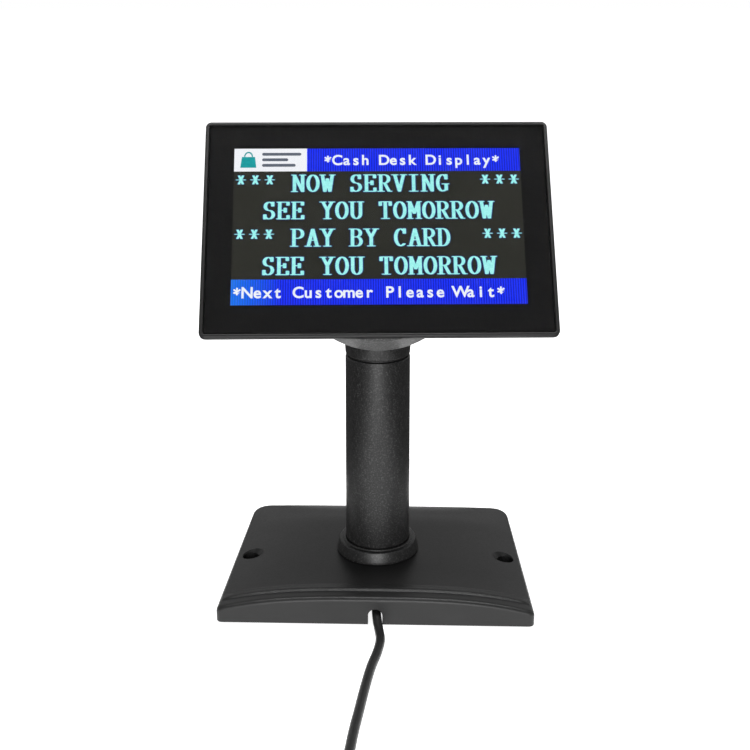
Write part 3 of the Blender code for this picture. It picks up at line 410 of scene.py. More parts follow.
def loft(loops, closed=False):
    """A skin over loops of equal length: capped at both ends, or closed into a ring."""
    shape = bmesh.new()
    rings = [[shape.verts.new(point) for point in loop] for loop in loops]
    for low, high in zip(rings, rings[1:] + rings[:1] if closed else rings[1:]):
        for i in range(len(low)):
            j = (i + 1) % len(low)
            shape.faces.new((low[i], low[j], high[j], high[i]))
    if not closed:
        shape.faces.new(rings[0])
        shape.faces.new(rings[-1])
    return shape


def turned(profile, steps=96, closed=False):
    """A lathe about Z. A closed profile makes a ring; an open one is capped flat at both ends."""
    rings = [[(r * x, r * y, z) for x, y in circle(1.0, steps)] for r, z in profile]
    return loft(rings, closed)


def prism(outline, low, high, along="Z"):
    shape = loft([[(x, y, z) for x, y in outline] for z in ((low - high) / 2, (high - low) / 2)])
    return stood(shape, along, (low + high) / 2)


def box(low, high):
    shape = bmesh.new()
    bmesh.ops.create_cube(shape, size=1.0)
    bmesh.ops.scale(shape, vec=[b - a for a, b in zip(low, high)], verts=shape.verts)
    return moved(shape, *[(a + b) / 2 for a, b in zip(low, high)])


def rod(radius, low, high, along="Z", centre=(0.0, 0.0), steps=32):
    return prism(circle(radius, steps, centre), low, high, along)


def rounded(points, radius, steps=5):
    """A closed profile with its corners rounded. Points are (r, z), or (r, z, a radius of their own)."""
    made = []
    for i, point in enumerate(points):
        here = Vector(point[:2])
        size = point[2] if len(point) > 2 else radius
        before, after = Vector(points[i - 1][:2]) - here, Vector(points[(i + 1) % len(points)][:2]) - here
        size = min(size, before.length * 0.45, after.length * 0.45)
        if size < 0.01:
            made.append(tuple(here))
            continue
        first, last = here + before.normalized() * size, here + after.normalized() * size
        for k in range(steps + 1):
            t = k / steps
            made.append(tuple(first * (1 - t) ** 2 + here * 2 * t * (1 - t) + last * t * t))
    return made


def tilted(shape):
    """Takes a head shape from (x, n, s) to its place in the world."""
    moved(shape, 0, -AXIS_N, -AXIS_S)
    bmesh.ops.rotate(shape, matrix=HEAD_TURN, verts=shape.verts)
    return moved(shape, *TILT_AXIS)


def head_loop(inset, n, radius=None):
    """The head's outline moved inwards, at depth n."""
    radius = max(HEAD_CORNER_R - inset, 0.5) if radius is None else radius
    outline = rounded_rectangle(HEAD_WIDTH - 2 * inset, HEAD_HEIGHT - 2 * inset, radius,
                                (0.0, HEAD_HEIGHT / 2))
    return [(x, n, s) for x, s in outline]


def head_rod(radius, low, high, x, s, steps=24):
    return rod(radius, low, high, "Y", (x, s), steps)


# ---------------------------------------------------------------- pieces

def piece(name, shape, finish, body, slot, *nodes, sharp=35):
    """Makes the object in metres, shades it, hangs it on the body that carries it, and hides the CAD nodes it
    stands for.
    """
    bmesh.ops.scale(shape, vec=(MM, MM, MM), verts=shape.verts)
    bmesh.ops.remove_doubles(shape, verts=shape.verts, dist=1e-6)
    bmesh.ops.recalc_face_normals(shape, faces=shape.faces)
    for face in shape.faces:
        face.smooth = True
    mesh = bpy.data.meshes.new(name)
    shape.to_mesh(mesh)
    shape.free()
    mesh.set_sharp_from_angle(angle=radians(sharp))
    mesh.materials.append(finish)
    obj = bpy.data.objects.new(name, mesh)
    bpy.context.scene.collection.objects.link(obj)
    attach(obj, body)
    if nodes:
        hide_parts(*nodes)
    return obj


def combined(target, shapes, operation):
    """The target after a boolean with each shape in turn."""
    for shape in shapes:
        bmesh.ops.recalc_face_normals(shape, faces=shape.faces)
        tool_mesh = bpy.data.meshes.new("tool")
        shape.to_mesh(tool_mesh)
        shape.free()
        tool = bpy.data.objects.new("tool", tool_mesh)
        base_mesh = bpy.data.meshes.new("target")
        bmesh.ops.recalc_face_normals(target, faces=target.faces)
        target.to_mesh(base_mesh)
        target.free()
        held = bpy.data.objects.new("target", base_mesh)
        for obj in (tool, held):
            bpy.context.scene.collection.objects.link(obj)
        step = held.modifiers.new("combine", "BOOLEAN")
        step.solver, step.operation, step.object = "EXACT", operation, tool
        graph = bpy.context.evaluated_depsgraph_get()
        result = bpy.data.meshes.new_from_object(held.evaluated_get(graph))
        target = bmesh.new()
        target.from_mesh(result)
        for obj in (tool, held):
            mesh = obj.data
            bpy.data.objects.remove(obj, do_unlink=True)
            bpy.data.meshes.remove(mesh)
        bpy.data.meshes.remove(result)
        bmesh.ops.remove_doubles(target, verts=target.verts, dist=0.002)
    return target


def cut(target, *shapes):
    return combined(target, shapes, "DIFFERENCE")


def add(target, *shapes):
    return combined(target, shapes, "UNION")


# ---------------------------------------------------------------- base

def base_half_width(y):
    along = (y - BASE_FRONT_Y) / (BASE_BACK_Y - BASE_FRONT_Y)
    return BASE_FRONT_HALF + (BASE_BACK_HALF - BASE_FRONT_HALF) * along


def smooth_step(value, low, high):
    t = min(max((value - low) / (high - low), 0.0), 1.0)
    return t * t * (3 - 2 * t)


def base_height(x, y):
    """Top surface: arched across, rolled down at the back, with the bead behind the front edge."""
    half = base_half_width(y)
    across = max(0.0, 1 - abs(x / half) ** CROWN_POWER)
    roll = 1 - (1 - min((BASE_BACK_Y - y) / ROLL_LENGTH, 1.0)) ** 2
    behind = y - BASE_FRONT_Y
    bead = smooth_step(behind, BEAD_RISE, BEAD_TOP) * (1 - smooth_step(behind, BEAD_BACK, BEAD_END))
    bead *= smooth_step(half - abs(x), 1.0, 6.0)
    return SHOULDER_Z + (CROWN_Z - SHOULDER_Z) * across * roll + BEAD_HEIGHT * bead


def base_corner(y, inset):
    """Distance from the nearer end edge, and the radius of the corner there."""
    front, back = y - BASE_FRONT_Y - inset, BASE_BACK_Y - inset - y
    end, radius = min((front, FRONT_CORNER_R), (back, BACK_CORNER_R))
    return end, max(radius - inset, 0.8)


def base_edge_x(y, inset):
    """Half width of the outline at y, with the corners rounded."""
    end, radius = base_corner(y, inset)
    half = base_half_width(y) - inset
    return half - radius + sqrt(radius ** 2 - (radius - end) ** 2) if end < radius else half


def edge_drop(x, y, inset, rounding):
    """How far the rounded edge is below the top surface at this point."""
    end, radius = base_corner(y, inset)
    side = base_half_width(y) - inset - abs(x)
    near = min(side, end)
    if side < radius and end < radius:
        near = radius - hypot(radius - side, radius - end)
    near = min(max(near, 0.0), rounding)
    return rounding - sqrt(rounding ** 2 - (rounding - near) ** 2)


def base_block(inset, drop, rounding, low_z, rows, insets, fractions):
    """A closed block: the top surface as a grid, with walls straight down to low_z."""
    shape = bmesh.new()
    columns = 2 * (len(insets) + len(fractions)) + 1
    bmesh.ops.create_grid(shape, x_segments=columns - 1, y_segments=len(rows) - 1, size=1.0)
    shape.verts.ensure_lookup_table()
    for r, y in enumerate(rows):
        edge = base_edge_x(y, inset)
        right = [edge - value for value in insets] + [(edge - insets[-1]) * value for value in fractions]
        for c, x in enumerate([-x for x in right] + [0.0] + right[::-1]):
            z = base_height(x, y) - drop - edge_drop(x, y, inset, rounding)
            shape.verts[r * columns + c].co = (x, y, z)
    rim = [edge for edge in shape.edges if edge.is_boundary]
    wall = bmesh.ops.extrude_edge_only(shape, edges=rim)["geom"]
    for vert in wall:
        if isinstance(vert, bmesh.types.BMVert):
            vert.co.z = low_z
    bmesh.ops.edgeloop_fill(shape, edges=[edge for edge in shape.edges if edge.is_boundary])
    return shape


def base_shell(finish):
    """The shell, hollow underneath. Its rows lie closest over the rounded edges and the bead."""
    edges = [EDGE_R * (1 - cos(pi / 2 * i / 8)) for i in range(9)]
    rows = [BASE_FRONT_Y + u for u in edges + [EDGE_R + 1.15 * i for i in range(1, 5)]]
    rows += [BASE_FRONT_Y + BEAD_RISE + 0.43 * i for i in range(24)]
    rows += [BASE_FRONT_Y + 18.0 + 4.0 * i for i in range(20)]
    rows += [BASE_BACK_Y - 34 + 1.6 * i for i in range(19)]
    rows += [BASE_BACK_Y - u for u in (4.6, 3.6)] + [BASE_BACK_Y - u for u in edges[::-1]]
    outer = base_block(0.0, 0.0, EDGE_R, SKIRT_Z, sorted(rows), edges, [1 - i / 34 for i in range(1, 34)])
    inner_rows = [BASE_FRONT_Y + SHELL_WALL + u for u in (0, 0.8, 40, 80)]
    inner_rows += [BASE_BACK_Y - SHELL_WALL - u for u in (28, 18, 8.6, 4, 1.2, 0)]
    inner = base_block(SHELL_WALL, SHELL_WALL, 0.8, -5.0, inner_rows, (0, 0.8), (0.86, 0.66, 0.4))
    posts = []
    for side in (1, -1):
        top = base_height(side * (COUNTER_HOLE_X + 4), POLE_Y) - 1.4
        posts.append(rod(6.4, 4.6, top, centre=(side * COUNTER_HOLE_X, COUNTER_HOLE_Y)))
    notch = [(NOTCH_X + NOTCH_WIDTH / 2 * cos(pi * i / 16), NOTCH_TOP - NOTCH_WIDTH / 2
              + NOTCH_WIDTH / 2 * sin(pi * i / 16)) for i in range(17)]
    notch = [(NOTCH_X + NOTCH_WIDTH / 2, -2.0)] + notch + [(NOTCH_X - NOTCH_WIDTH / 2, -2.0)]
    holes = [prism(notch, BASE_FRONT_Y - 2, BASE_FRONT_Y + 6, "Y"),
             rod(POLE_JOINT_R + 0.35, 0, 30, centre=(0, POLE_Y), steps=64)]
    for side in (1, -1):
        low = base_height(side * (COUNTER_HOLE_X + 4), POLE_Y)
        bore = turned([(COUNTER_HOLE_R, -2), (COUNTER_HOLE_R, low - 0.5),
                       (COUNTER_HOLE_R + 4, low + 3.5)], 40)
        holes.append(moved(bore, side * COUNTER_HOLE_X, COUNTER_HOLE_Y))
    shape = cut(add(cut(outer, inner), *posts), *holes)
    return piece("base_shell_moulded", shape, finish, "base", "housing_plastic", "base_shell", sharp=32)


def feet(finish):
    """Four turned feet at the places of the CAD's."""
    for i in range(4):
        low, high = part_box(f"foot_{i + 1}")
        x, y = (low[0] + high[0]) / 2 / MM, (low[1] + high[1]) / 2 / MM
        profile = rounded([(0.4, 0, 0), (5.2, 0.0, 0.3), (6.5, 0.5, 0.2), (6.5, 1.0, 0),
                           (0.4, 1.0, 0)], 0.2, 3)
        piece(f"rubber_foot_{i + 1}", moved(turned(profile, 40), x, y), finish, "base", "rubber",
              f"foot_{i + 1}")


# ---------------------------------------------------------------- pole and neck

def pole(coating):
    """The tube with its cable slot at the foot, and the collar round it."""
    inner = POLE_TOP_R - POLE_WALL
    profile = rounded([(inner, POLE_TOP_Z, 0.3), (POLE_TOP_R, POLE_TOP_Z, 0.9),
                       (POLE_JOINT_R, POLE_JOINT_Z, 0.6), (POLE_SPIGOT_R, POLE_JOINT_Z, 0),
                       (POLE_SPIGOT_R, POLE_FOOT_Z, 0.3),
                       (inner, POLE_FOOT_Z, 0.3)], 0.3)
    tube = moved(turned(profile, 128, True), 0, POLE_Y)
    tube = cut(tube, box((-3.6, POLE_Y - 30, 2), (3.6, POLE_Y, 12.2)))
    piece("pole_coated", tube, coating, "base", "textured_coating", "pole_tube")
    inner = POLE_JOINT_R + 0.15
    shoulder = FOOT_COLLAR_TOP_Z - 0.7
    profile = rounded([(inner, CROWN_Z + 0.35, 0.1), (FOOT_COLLAR_BASE_R, CROWN_Z + 0.35, 0.3),
                       (FOOT_COLLAR_BASE_R - 0.1, CROWN_Z + 1.6, 0.5), (FOOT_COLLAR_TOP_R, shoulder, 0.9),
                       (inner + 1.6, shoulder, 0.2), (inner + 1.3, FOOT_COLLAR_TOP_Z, 0.3),
                       (inner, FOOT_COLLAR_TOP_Z, 0.15)], 0.3)
    piece("foot_collar_coated", moved(turned(profile, 128, True), 0, POLE_Y), coating, "base",
          "textured_coating", "foot_collar")


def neck(coating):
    """The collar with its tongue, made about the pole's axis and then turned by the swivel angle."""
    profile = rounded([(1.0, NECK_Z, 0), (NECK_R, NECK_Z, 0.7), (NECK_RIM_R, NECK_TOP_Z - 1.6, 0.6),
                       (NECK_RIM_R - 0.3, NECK_TOP_Z, 1.0), (1.0, NECK_TOP_Z, 0)], 0.3)
    axis_y = -AXIS_FORWARD
    crown = [(axis_y + TONGUE_R * cos(pi * i / 24), AXIS_Z + TONGUE_R * sin(pi * i / 24)) for i in range(25)]
    tongue = [(axis_y + TONGUE_R, NECK_TOP_Z - 1)] + crown + [(axis_y - TONGUE_R, NECK_TOP_Z - 1)]
    yoke = add(turned(profile, 128), prism(tongue, -TONGUE_HALF, TONGUE_HALF, "X"),
               box((-2, -14.3, NECK_Z - 1.3), (2, -11.8, NECK_Z + 2)))
    yoke = cut(yoke, rod(BOLT_R + GAP, -12, 12, "X", (axis_y, AXIS_Z)), rod(STEM_R + GAP, 130, 143.0),
               rod(3.3, 142, 154), rod(3.3, -14, 0, "Y", (0.0, 152.0)))
    bmesh.ops.rotate(yoke, matrix=Matrix.Rotation(SWIVEL, 3, "Z"), verts=yoke.verts)
    obj = piece("neck_yoke_coated", moved(yoke, 0, POLE_Y), coating, "neck", "textured_coating", "neck_yoke")
    soften(obj, 0.35)


def soften(obj, width):
    """Rounds the edges with a narrow bevel."""
    bevel = obj.modifiers.new("soft_edges", "BEVEL")
    bevel.width, bevel.segments = width * MM, 3
    bevel.limit_method, bevel.angle_limit = "ANGLE", radians(50)


# ---------------------------------------------------------------- head

def front_frame(finish):
    """A ring. Its profile is (distance in from the outline, depth)."""
    back = FRAME_EDGE
    profile = [(0.0, 1.0), (0.05, 0.6), (0.2, 0.3), (0.42, 0.1), (0.75, 0.0), (RIM - 0.45, 0.0),
               (RIM - 0.2, 0.05), (RIM - 0.05, 0.18), (RIM, 0.4), (RIM, 1.55), (8.0, 1.55), (8.0, 3.0),
               (4.1, 3.0), (4.1, 4.8), (2.9, 4.8), (2.9, back), (0.3, back), (0.08, back - 0.1),
               (0.0, back - 0.35)]
    shape = tilted(loft([head_loop(inset, n) for inset, n in profile], True))
    piece("front_frame_moulded", shape, finish, "head", "housing_plastic", "front_frame", sharp=40)


def screen(glass_finish, ink, panel):
    """The cover glass, the printed border behind it, and the lit panel."""
    inset = RIM + GAP
    loops = [(inset + 0.25, 0.15), (inset + 0.07, 0.22), (inset, 0.4), (inset, 1.12), (inset + 0.12, 1.24)]
    shape = tilted(loft([head_loop(i, n, 1.4 - (i - inset)) for i, n in loops]))
    obj = piece("cover_glass_clear", shape, glass_finish, "head", "cover_glass", "cover_glass", sharp=12)
    obj.data.materials.append(ink)
    facing = HEAD_TURN @ Vector((0.0, -1.0, 0.0))
    for face in obj.data.polygons:
        face.material_index = 0 if abs(face.normal.dot(facing)) > 0.95 else 1
    outer = rounded_rectangle(HEAD_WIDTH - 2 * inset - 0.5, HEAD_HEIGHT - 2 * inset - 0.5, 1.2,
                              (0, HEAD_HEIGHT / 2))
    inner = rounded_rectangle(SCREEN_WIDTH + 1.2, SCREEN_HEIGHT + 1.2, 0.4, (0.0, SCREEN_S))
    loops = [[(x, n, s) for x, s in outline] for outline, n in
             ((outer, 1.29), (inner, 1.29), (inner, 1.33), (outer, 1.33))]
    piece("printed_border", tilted(loft(loops, True)), ink, "head", "cover_glass")
    outline = rounded_rectangle(PANEL_WIDTH, PANEL_HEIGHT, 0.8, (0.0, SCREEN_S), 3)
    shape = prism(outline, 1.55, 3.4, "Y")
    layer = shape.loops.layers.uv.new("picture")
    for face in shape.faces:
        for loop in face.loops:
            x, _, height = loop.vert.co
            loop[layer].uv = (x + SCREEN_WIDTH / 2, height - SCREEN_S + SCREEN_HEIGHT / 2)
    piece("lcd_panel_lit", tilted(shape), panel, "head", "screen", "lcd_panel")


def rear_cover(coating):
    """A hollow shell with a round drum, screw columns and bores, vents and a hole for the lead."""
    front = FRAME_EDGE + GAP
    outer = ((0.3, front), (0.35, 4.2), (0.7, 4.9), (1.25, 5.9), (2.0, 6.9), (REAR_INSET - 2.2, 13.6),
             (REAR_INSET - 1.5, 14.5), (REAR_INSET - 0.6, 15.1), (REAR_INSET + 0.3, 15.4),
             (REAR_INSET + 1.2, REAR_FACE_N))
    inner = ((2.3, front - 2.0), (2.3, 5.4), (REAR_INSET - 0.9, 13.5))
    rings = [(0.0, DRUM_FRONT_N)] + [(1.4 * (1 - cos(radians(a))), DRUM_BACK_N - 1.4 * (1 - sin(radians(a))))
                                      for a in range(0, 91, 15)]
    drum = loft([[(x, n, s) for x, s in circle(DRUM_R + DRUM_EXTRA - shrink, 144, (0.0, DRUM_R))]
                 for shrink, n in rings])
    shape = add(loft([head_loop(i, n, 3.0) for i, n in outer]), drum)
    shape = cut(shape, loft([head_loop(i, n, 2.0) for i, n in inner]),
                head_rod(DRUM_R - DRUM_WALL, 5.4, DRUM_BACK_N - DRUM_WALL, 0.0, DRUM_R, 96))
    columns = []
    for x, s in HEAD_SCREWS:
        lean = 1.6 if s < HEAD_HEIGHT / 2 else -1.6
        columns.append(loft([[(px, n, ps) for px, ps in circle(radius, 24, (x, s + shift))]
                             for n, radius, shift in ((9.3, 3.8, 0.0), (11.5, 3.8, 0.0), (14.0, 3.4, lean))]))
    shape = add(shape, *columns)
    holes = []
    for x, s in HEAD_SCREWS:
        bore = [(2.7, 0), (2.7, 7.6), (1.6, 7.6), (1.6, 12)]
        holes.append(moved(stood(turned(bore, 28), "Y"), x, 18.5, s))
    holes += [head_rod(1.4, 12.0, 22.0, x, s) for x, s in HINGE_SCREWS]
    for x in range(-36, 37, 6):
        slot = rounded_rectangle(1.8, 12.0, 0.88, (x, 102.0), 6)
        holes.append(prism(slot, 12.0, 17.0, "Y"))
    holes.append(head_rod(3.4, 16.0, 22.0, 0.0, HEAD_LEAD_S))
    piece("rear_cover_coated", tilted(cut(shape, *holes)), coating, "head", "textured_coating", "rear_cover")


def hinge_plate(coating):
    """A round plate with two ears."""
    n_low, n_high = HINGE_PLATE_FRONT_N, HINGE_PLATE_BACK_N
    rings = [(HINGE_PLATE_R - 0.5, n_low), (HINGE_PLATE_R - 0.15, n_low + 0.12),
             (HINGE_PLATE_R, n_low + 0.45), (HINGE_PLATE_R, n_high - 0.6),
             (HINGE_PLATE_R - 0.2, n_high - 0.2), (HINGE_PLATE_R - 0.6, n_high)]
    shape = loft([[(x, n, s) for x, s in circle(r, 128, (0.0, HINGE_PLATE_S))] for r, n in rings])
    ears = []
    for side in (1, -1):
        low, high = sorted((side * EAR_INNER, side * EAR_OUTER))
        tip = [(AXIS_N + EAR_R * cos(a), AXIS_S + EAR_R * sin(a)) for a in
               (radians(-128 + 232 * i / 28) for i in range(29))]
        outline = tip + [(n_high - 1.0, AXIS_S + 19.0), (n_high - 1.0, AXIS_S - 13.0)]
        ears.append(prism(outline, low, high, "X"))
    holes = [rod(BOLT_R + GAP, -25, 25, "X", (AXIS_N, AXIS_S)), head_rod(4.0, 18.0, 24.0, 0.0, HEAD_LEAD_S)]
    holes += [head_rod(1.5, 18.0, 24.0, x, s) for x, s in HINGE_SCREWS]
    shape = tilted(cut(add(shape, *ears), *holes))
    soften(piece("hinge_plate_coated", shape, coating, "head", "textured_coating", "hinge_plate"), 0.5)


# ---------------------------------------------------------------- the picture's letters

def arc(cx, cy, rx, ry, start, end, steps=10):
    return [(cx + rx * cos(radians(start + (end - start) * i / steps)),
             cy + ry * sin(radians(start + (end - start) * i / steps))) for i in range(steps + 1)]


def letters():
    """Strokes of plain slab letters on a grid 4 wide and 6 high. A short bar is a serif."""
    def bar(x, y, half=0.75):
        return [(x - half, y), (x + half, y)]

    stem = [(0.6, 0), (0.6, 6)]
    feet_left = [bar(0.6, 0), bar(0.6, 6)]
    return {
        "A": [[(0.5, 0), (2, 6), (3.5, 0)], [(1.0, 2.1), (3.0, 2.1)], bar(0.5, 0), bar(3.5, 0)],
        "B": [stem, *feet_left, [(0.6, 6)] + arc(2.0, 4.6, 1.3, 1.4, 90, -90), [(0.6, 3.2)] + arc(
            2.1, 1.6, 1.4, 1.6, 90, -90) + [(0.6, 0)]],
        "C": [arc(2.1, 3, 1.7, 3, 50, 310, 14), [(3.35, 4.4), (3.35, 6.0)]],
        "D": [stem, bar(0.5, 0), bar(0.5, 6), [(0.6, 6)] + arc(1.7, 3, 1.8, 3, 90, -90, 14) + [(0.6, 0)]],
        "E": [stem, [(0.0, 6), (3.4, 6), (3.4, 4.9)], [(0.0, 0), (3.5, 0), (3.5, 1.2)],
              [(0.6, 3.1), (2.5, 3.1)], [(2.5, 3.8), (2.5, 2.4)]],
        "G": [arc(2.1, 3, 1.7, 3, 50, 300, 14), [(3.3, 4.4), (3.3, 6.0)], [(3.3, 0.4), (3.3, 2.5)],
              bar(3.1, 2.6, 0.8)],
        "I": [[(2, 0), (2, 6)], bar(2, 0, 1.1), bar(2, 6, 1.1)],
        "M": [[(0.5, 0), (0.5, 6), (2, 1.8), (3.5, 6), (3.5, 0)], bar(0.5, 0, 0.6), bar(3.5, 0, 0.6),
              [(-0.1, 6), (0.6, 6)], [(3.4, 6), (4.1, 6)]],
        "N": [[(0.6, 0), (0.6, 6), (3.4, 0), (3.4, 6)], bar(0.6, 0, 0.7), bar(3.4, 6, 0.7),
              [(0.0, 6), (0.7, 6)]],
        "O": [arc(2, 3, 1.7, 3, 0, 360, 20)],
        "P": [stem, bar(0.7, 0, 0.9), bar(0.3, 6, 0.4),
              [(0.6, 6)] + arc(2.1, 4.4, 1.4, 1.6, 90, -90) + [(0.6, 2.8)]],
        "R": [stem, bar(0.6, 0, 0.8), bar(0.3, 6, 0.4),
              [(0.6, 6)] + arc(2.0, 4.5, 1.3, 1.5, 90, -90) + [(0.6, 3)], [(1.9, 3), (3.4, 0), (4.0, 0)]],
        "S": [arc(2.0, 4.5, 1.35, 1.5, 35, 250, 12) + arc(1.9, 1.55, 1.5, 1.55, 65, -145, 12),
              [(3.15, 4.6), (3.15, 6.0)], [(0.55, 1.5), (0.55, 0)]],
        "T": [[(2, 0), (2, 6)], bar(2, 0, 1.0), [(0.3, 4.7), (0.3, 6), (3.7, 6), (3.7, 4.7)]],
        "U": [[(0.6, 6), (0.6, 1.8)] + arc(2, 1.8, 1.4, 1.8, 180, 360) + [(3.4, 6)],
              bar(0.6, 6), bar(3.4, 6)],
        "V": [[(0.5, 6), (2, 0), (3.5, 6)], bar(0.5, 6), bar(3.5, 6)],
        "W": [[(0.3, 6), (1.15, 0), (2, 4.6), (2.85, 0), (3.7, 6)], bar(0.3, 6, 0.6), bar(3.7, 6, 0.6)],
        "Y": [[(0.5, 6), (2, 3), (3.5, 6)], [(2, 3), (2, 0)], bar(2, 0, 0.9), bar(0.5, 6, 0.7),
              bar(3.5, 6, 0.7)],
        "*": [[(2 - 1.7 * cos(a), 4.0 - 1.9 * sin(a)), (2 + 1.7 * cos(a), 4.0 + 1.9 * sin(a))]
              for a in (0, pi / 3, 2 * pi / 3)],
    }


def hull(points):
    """The convex outline of points in the plane."""
    points = sorted(set(points))
    outline = []
    for group in (points, points[::-1]):
        side = []
        for point in group:
            while len(side) > 1 and ((side[-1][0] - side[-2][0]) * (point[1] - side[-2][1])
                                     - (side[-1][1] - side[-2][1]) * (point[0] - side[-2][0])) <= 0:
                side.pop()
            side.append(point)
        outline += side[:-1]
    return outline


def draw_text(shape, text, left, centre_s, width, height, n, pen):
    """Adds each letter's strokes to the shape, drawn with a flat pen, as thin plates at depth n."""
    strokes = letters()
    nib = [(pen[0] * width / 4 * cos(pi * k / 4), pen[1] * height / 6 * sin(pi * k / 4)) for k in range(8)]
    for column, letter in enumerate(text):
        x0 = left + column * CELL + (CELL - width) / 2
        for stroke in strokes.get(letter, ()):
            spots = [(x0 + x / 4 * width, centre_s + (y / 6 - 0.5) * height) for x, y in stroke]
            for (ax, ay), (bx, by) in zip(spots, spots[1:]):
                outline = hull([(round(x + dx, 4), round(y + dy, 4)) for x, y in ((ax, ay), (bx, by))
                                for dx, dy in nib])
                front = [shape.verts.new((x, n, s)) for x, s in outline]
                back = [shape.verts.new((x, n + 0.03, s)) for x, s in outline]
                shape.faces.new(front)
                shape.faces.new(back[::-1])
                for i in range(len(front)):
                    j = (i + 1) % len(front)
                    shape.faces.new((front[j], front[i], back[i], back[j]))


def font_text(name, text, left, centre_s, cell, height, n, finish):
    """A line in the built-in font, one character to a cell."""
    parts = bmesh.new()
    for column, letter in enumerate(text):
        if letter == " ":
            continue
        words = bpy.data.curves.new("letter", "FONT")
        words.body, words.size, words.align_x, words.offset = letter, height / 0.72, "CENTER", 0.032 * height
        words.extrude = 0.02
        obj = bpy.data.objects.new("letter", words)
        bpy.context.scene.collection.objects.link(obj)
        graph = bpy.context.evaluated_depsgraph_get()
        mesh = bpy.data.meshes.new_from_object(obj.evaluated_get(graph))
        bpy.data.objects.remove(obj, do_unlink=True)
        bpy.data.curves.remove(words)
        one = bmesh.new()
        one.from_mesh(mesh)
        drop = -0.12 * height if letter == "*" else 0.0
        for vert in one.verts:
            x, y, z = vert.co
            vert.co = (left + (column + 0.5) * cell + x, n - z, centre_s - height / 2 + y + drop)
        one.to_mesh(mesh)
        one.free()
        parts.from_mesh(mesh)
        bpy.data.meshes.remove(mesh)
    piece(name, tilted(parts), finish, "head", "screen")


def picture():
    """What the screen shows, as thin plates between the panel and the glass."""
    left, low = -SCREEN_WIDTH / 2, SCREEN_S - SCREEN_HEIGHT / 2
    aqua = lit_colour("letters_aqua", (0.30, 0.86, 0.83), (0.42, 0.98, 0.94))
    shade = lit_colour("letters_shade", (0.012, 0.030, 0.16), (0.016, 0.040, 0.22))
    white = lit_colour("letters_white", (0.80, 0.86, 0.95), (0.95, 0.97, 1.0))
    for name, finish, n, pen in (("letters_large", aqua, 1.46, (0.60, 0.17)),
                                 ("letters_fringe", shade, 1.505, (0.88, 0.38))):
        shape = bmesh.new()
        for (text, column, starred), centre in zip(ROWS, ROW_CENTRES):
            draw_text(shape, text, left + column * CELL, centre, LETTER_WIDTH, LETTER_HEIGHT, n, pen)
            if starred:
                for first in (0, 17):
                    draw_text(shape, "***", left + first * CELL, centre + 0.6, 5.0, 9.0, n,
                              (pen[0] * 0.9, pen[1] * 0.8))
        piece(name, tilted(shape), finish, "head", "screen", sharp=10)
    font_text("top_line", "*Cash Desk Display*", left + 47.7, low + 83.2, 5.02, 6.0, 1.47, white)
    font_text("bottom_line", "*Next Customer Please Wait*", left + 0.6, low + 7.1, 5.26, 6.2, 1.47, white)
    icon(left + 2.5, low + SCREEN_HEIGHT - BAND_HEIGHT / 2)


def icon(left, centre_s):
    """A plain shopping bag and three bars of different length."""
    teal = lit_colour("icon_teal", (0.010, 0.30, 0.32), (0.014, 0.38, 0.40))
    grey = lit_colour("icon_grey", (0.10, 0.12, 0.16), (0.14, 0.16, 0.20))
    bag = [(left + 0.8, centre_s - 4.6), (left + 9.4, centre_s - 4.6), (left + 8.6, centre_s + 1.8),
           (left + 1.6, centre_s + 1.8)]
    shape = prism(bag, 1.45, 1.50, "Y")
    piece("icon_bag", tilted(shape), teal, "head", "screen")
    outer = arc(left + 5.1, centre_s + 1.9, 2.4, 3.0, 0, 180, 16)
    inner = arc(left + 5.1, centre_s + 1.9, 1.7, 2.2, 180, 0, 16)
    piece("icon_handle", tilted(prism(outer + inner, 1.45, 1.50, "Y")), teal, "head", "screen")
    for i, length in enumerate((21.0, 14.0, 18.0)):
        s = centre_s + 3.4 - 3.3 * i
        outline = rounded_rectangle(length, 1.7, 0.84, (left + 12.4 + length / 2, s), 6)
        piece(f"icon_bar_{i + 1}", tilted(prism(outline, 1.45, 1.50, "Y")), grey, "head", "screen")


# ---------------------------------------------------------------- cord

def coil_points():
    """Turns on two levels: inwards on the surface, a rise, then outwards on top. Angles are from -X."""
    points = []
    count = int(COIL_TURNS * COIL_POINTS)
    for i in range(count + 1):
        angle = 360.0 * i / COIL_POINTS
        turn, rest = divmod(angle, 360.0)
        turn = int(turn)
        if turn < 4:
            here, there = COIL_RADII[turn], COIL_RADII[min(turn + 1, 3)]
            radius = here + (there - here) * smooth_step(rest, 300, 360)
            level = smooth_step(rest, 150, 220) if turn == 3 else 0.0
        else:
            order = COIL_RADII[::-1]
            here, there = order[min(turn - 4, 3)], order[min(turn - 3, 3)]
            radius, level = here + (there - here) * smooth_step(rest, 80, 150), 1.0
        polar = radians(180 + angle)
        lift = TIE_LIFT * smooth_step(cos(polar), 0.45, 0.95)
        z = CORD_LIE_Z + COIL_PITCH * level + lift
        points.append((COIL_X + radius * cos(polar), COIL_Y + radius * sin(polar), z))
    return points


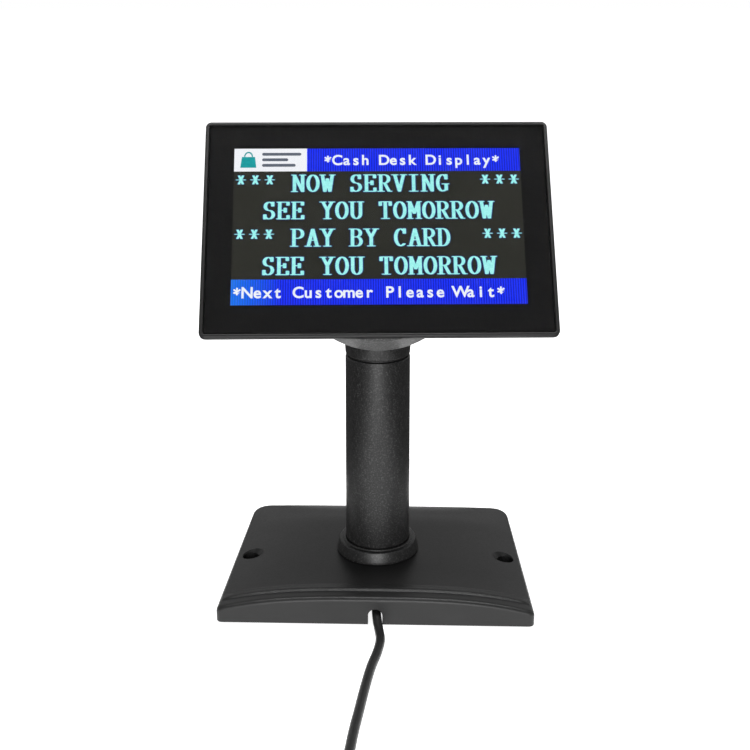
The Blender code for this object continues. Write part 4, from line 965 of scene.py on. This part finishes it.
def cord(finish):
    end = coil_points()
    start_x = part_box("plug_body")[0][0] / MM
    last = end[-1]
    tail = [(last[0] + (start_x - last[0]) * t, last[1],
             last[2] + (PLUG_Z - last[2]) * smooth_step(t, 0.0, 1.0)) for t in (0.35, 0.7, 1.0)]
    points = list(CORD_ROUTE) + end + tail
    curve = bpy.data.curves.new("lead", "CURVE")
    curve.dimensions, curve.resolution_u = "3D", 5
    spline = curve.splines.new("BEZIER")
    spline.bezier_points.add(len(points) - 1)
    for spot, point in zip(spline.bezier_points, points):
        spot.co = Vector(point) * MM
        spot.handle_left_type = spot.handle_right_type = "AUTO"
    curve.bevel_depth, curve.bevel_resolution, curve.use_fill_caps = CORD_R * MM, 6, True
    curve.materials.append(finish)
    obj = bpy.data.objects.new("lead", curve)
    bpy.context.scene.collection.objects.link(obj)
    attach(obj, "base")
    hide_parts("cord", "cord_coil")


# ---------------------------------------------------------------- the scene

def dress_nodes(frame, finishes):
    """Gives each CAD node its finish."""
    for entry in frame["record"]["subparts"]:
        node = frame["nodes"][entry["node"]]
        slots = node.data.materials
        slots.clear()
        slots.append(finishes[entry["material_slot"]])


def main():
    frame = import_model()
    camera()
    housing = housing_plastic()
    coating = textured_coating("textured_coating", 0.006, 0.015, 0.052)
    # A lighter copy of the speckled coating for the rear cover: painted light, standing in for the floor
    # light that the drum's underside catches.
    coating_painted_lighter = textured_coating("textured_coating_painted_lighter", 0.095, 0.135, 0.26)
    finishes = {
        "housing_plastic": housing, "textured_coating": coating,
        "dark_plastic": plain_plastic("dark_plastic", 0.010, 0.015, 0.5),
        "cover_glass": glass(), "screen": lit_panel(),
        "zinc_steel": steel("zinc_steel", 0.50, 0.66, 0.30),
        "black_steel": steel("black_steel", 0.035, 0.06, 0.40),
        "circuit_board": circuit_board(),
        "ribbon": plain_plastic("ribbon", (0.42, 0.20, 0.03), (0.55, 0.30, 0.06), 0.4, 400),
        "rubber": plain_plastic("rubber", 0.014, 0.021, 0.78),
        "cord_pvc": plain_plastic("cord_pvc", 0.008, 0.012, 0.42, 500),
        "white_plastic": plain_plastic("white_plastic", 0.68, 0.76, 0.45),
    }
    cord(finishes["cord_pvc"])
    studio()
    dress_nodes(frame, finishes)
    base_shell(housing)
    feet(finishes["rubber"])
    pole(coating)
    neck(coating)
    front_frame(housing)
    screen(finishes["cover_glass"], printed_ink(), finishes["screen"])
    rear_cover(coating_painted_lighter)
    hinge_plate(coating)
    picture()


main()
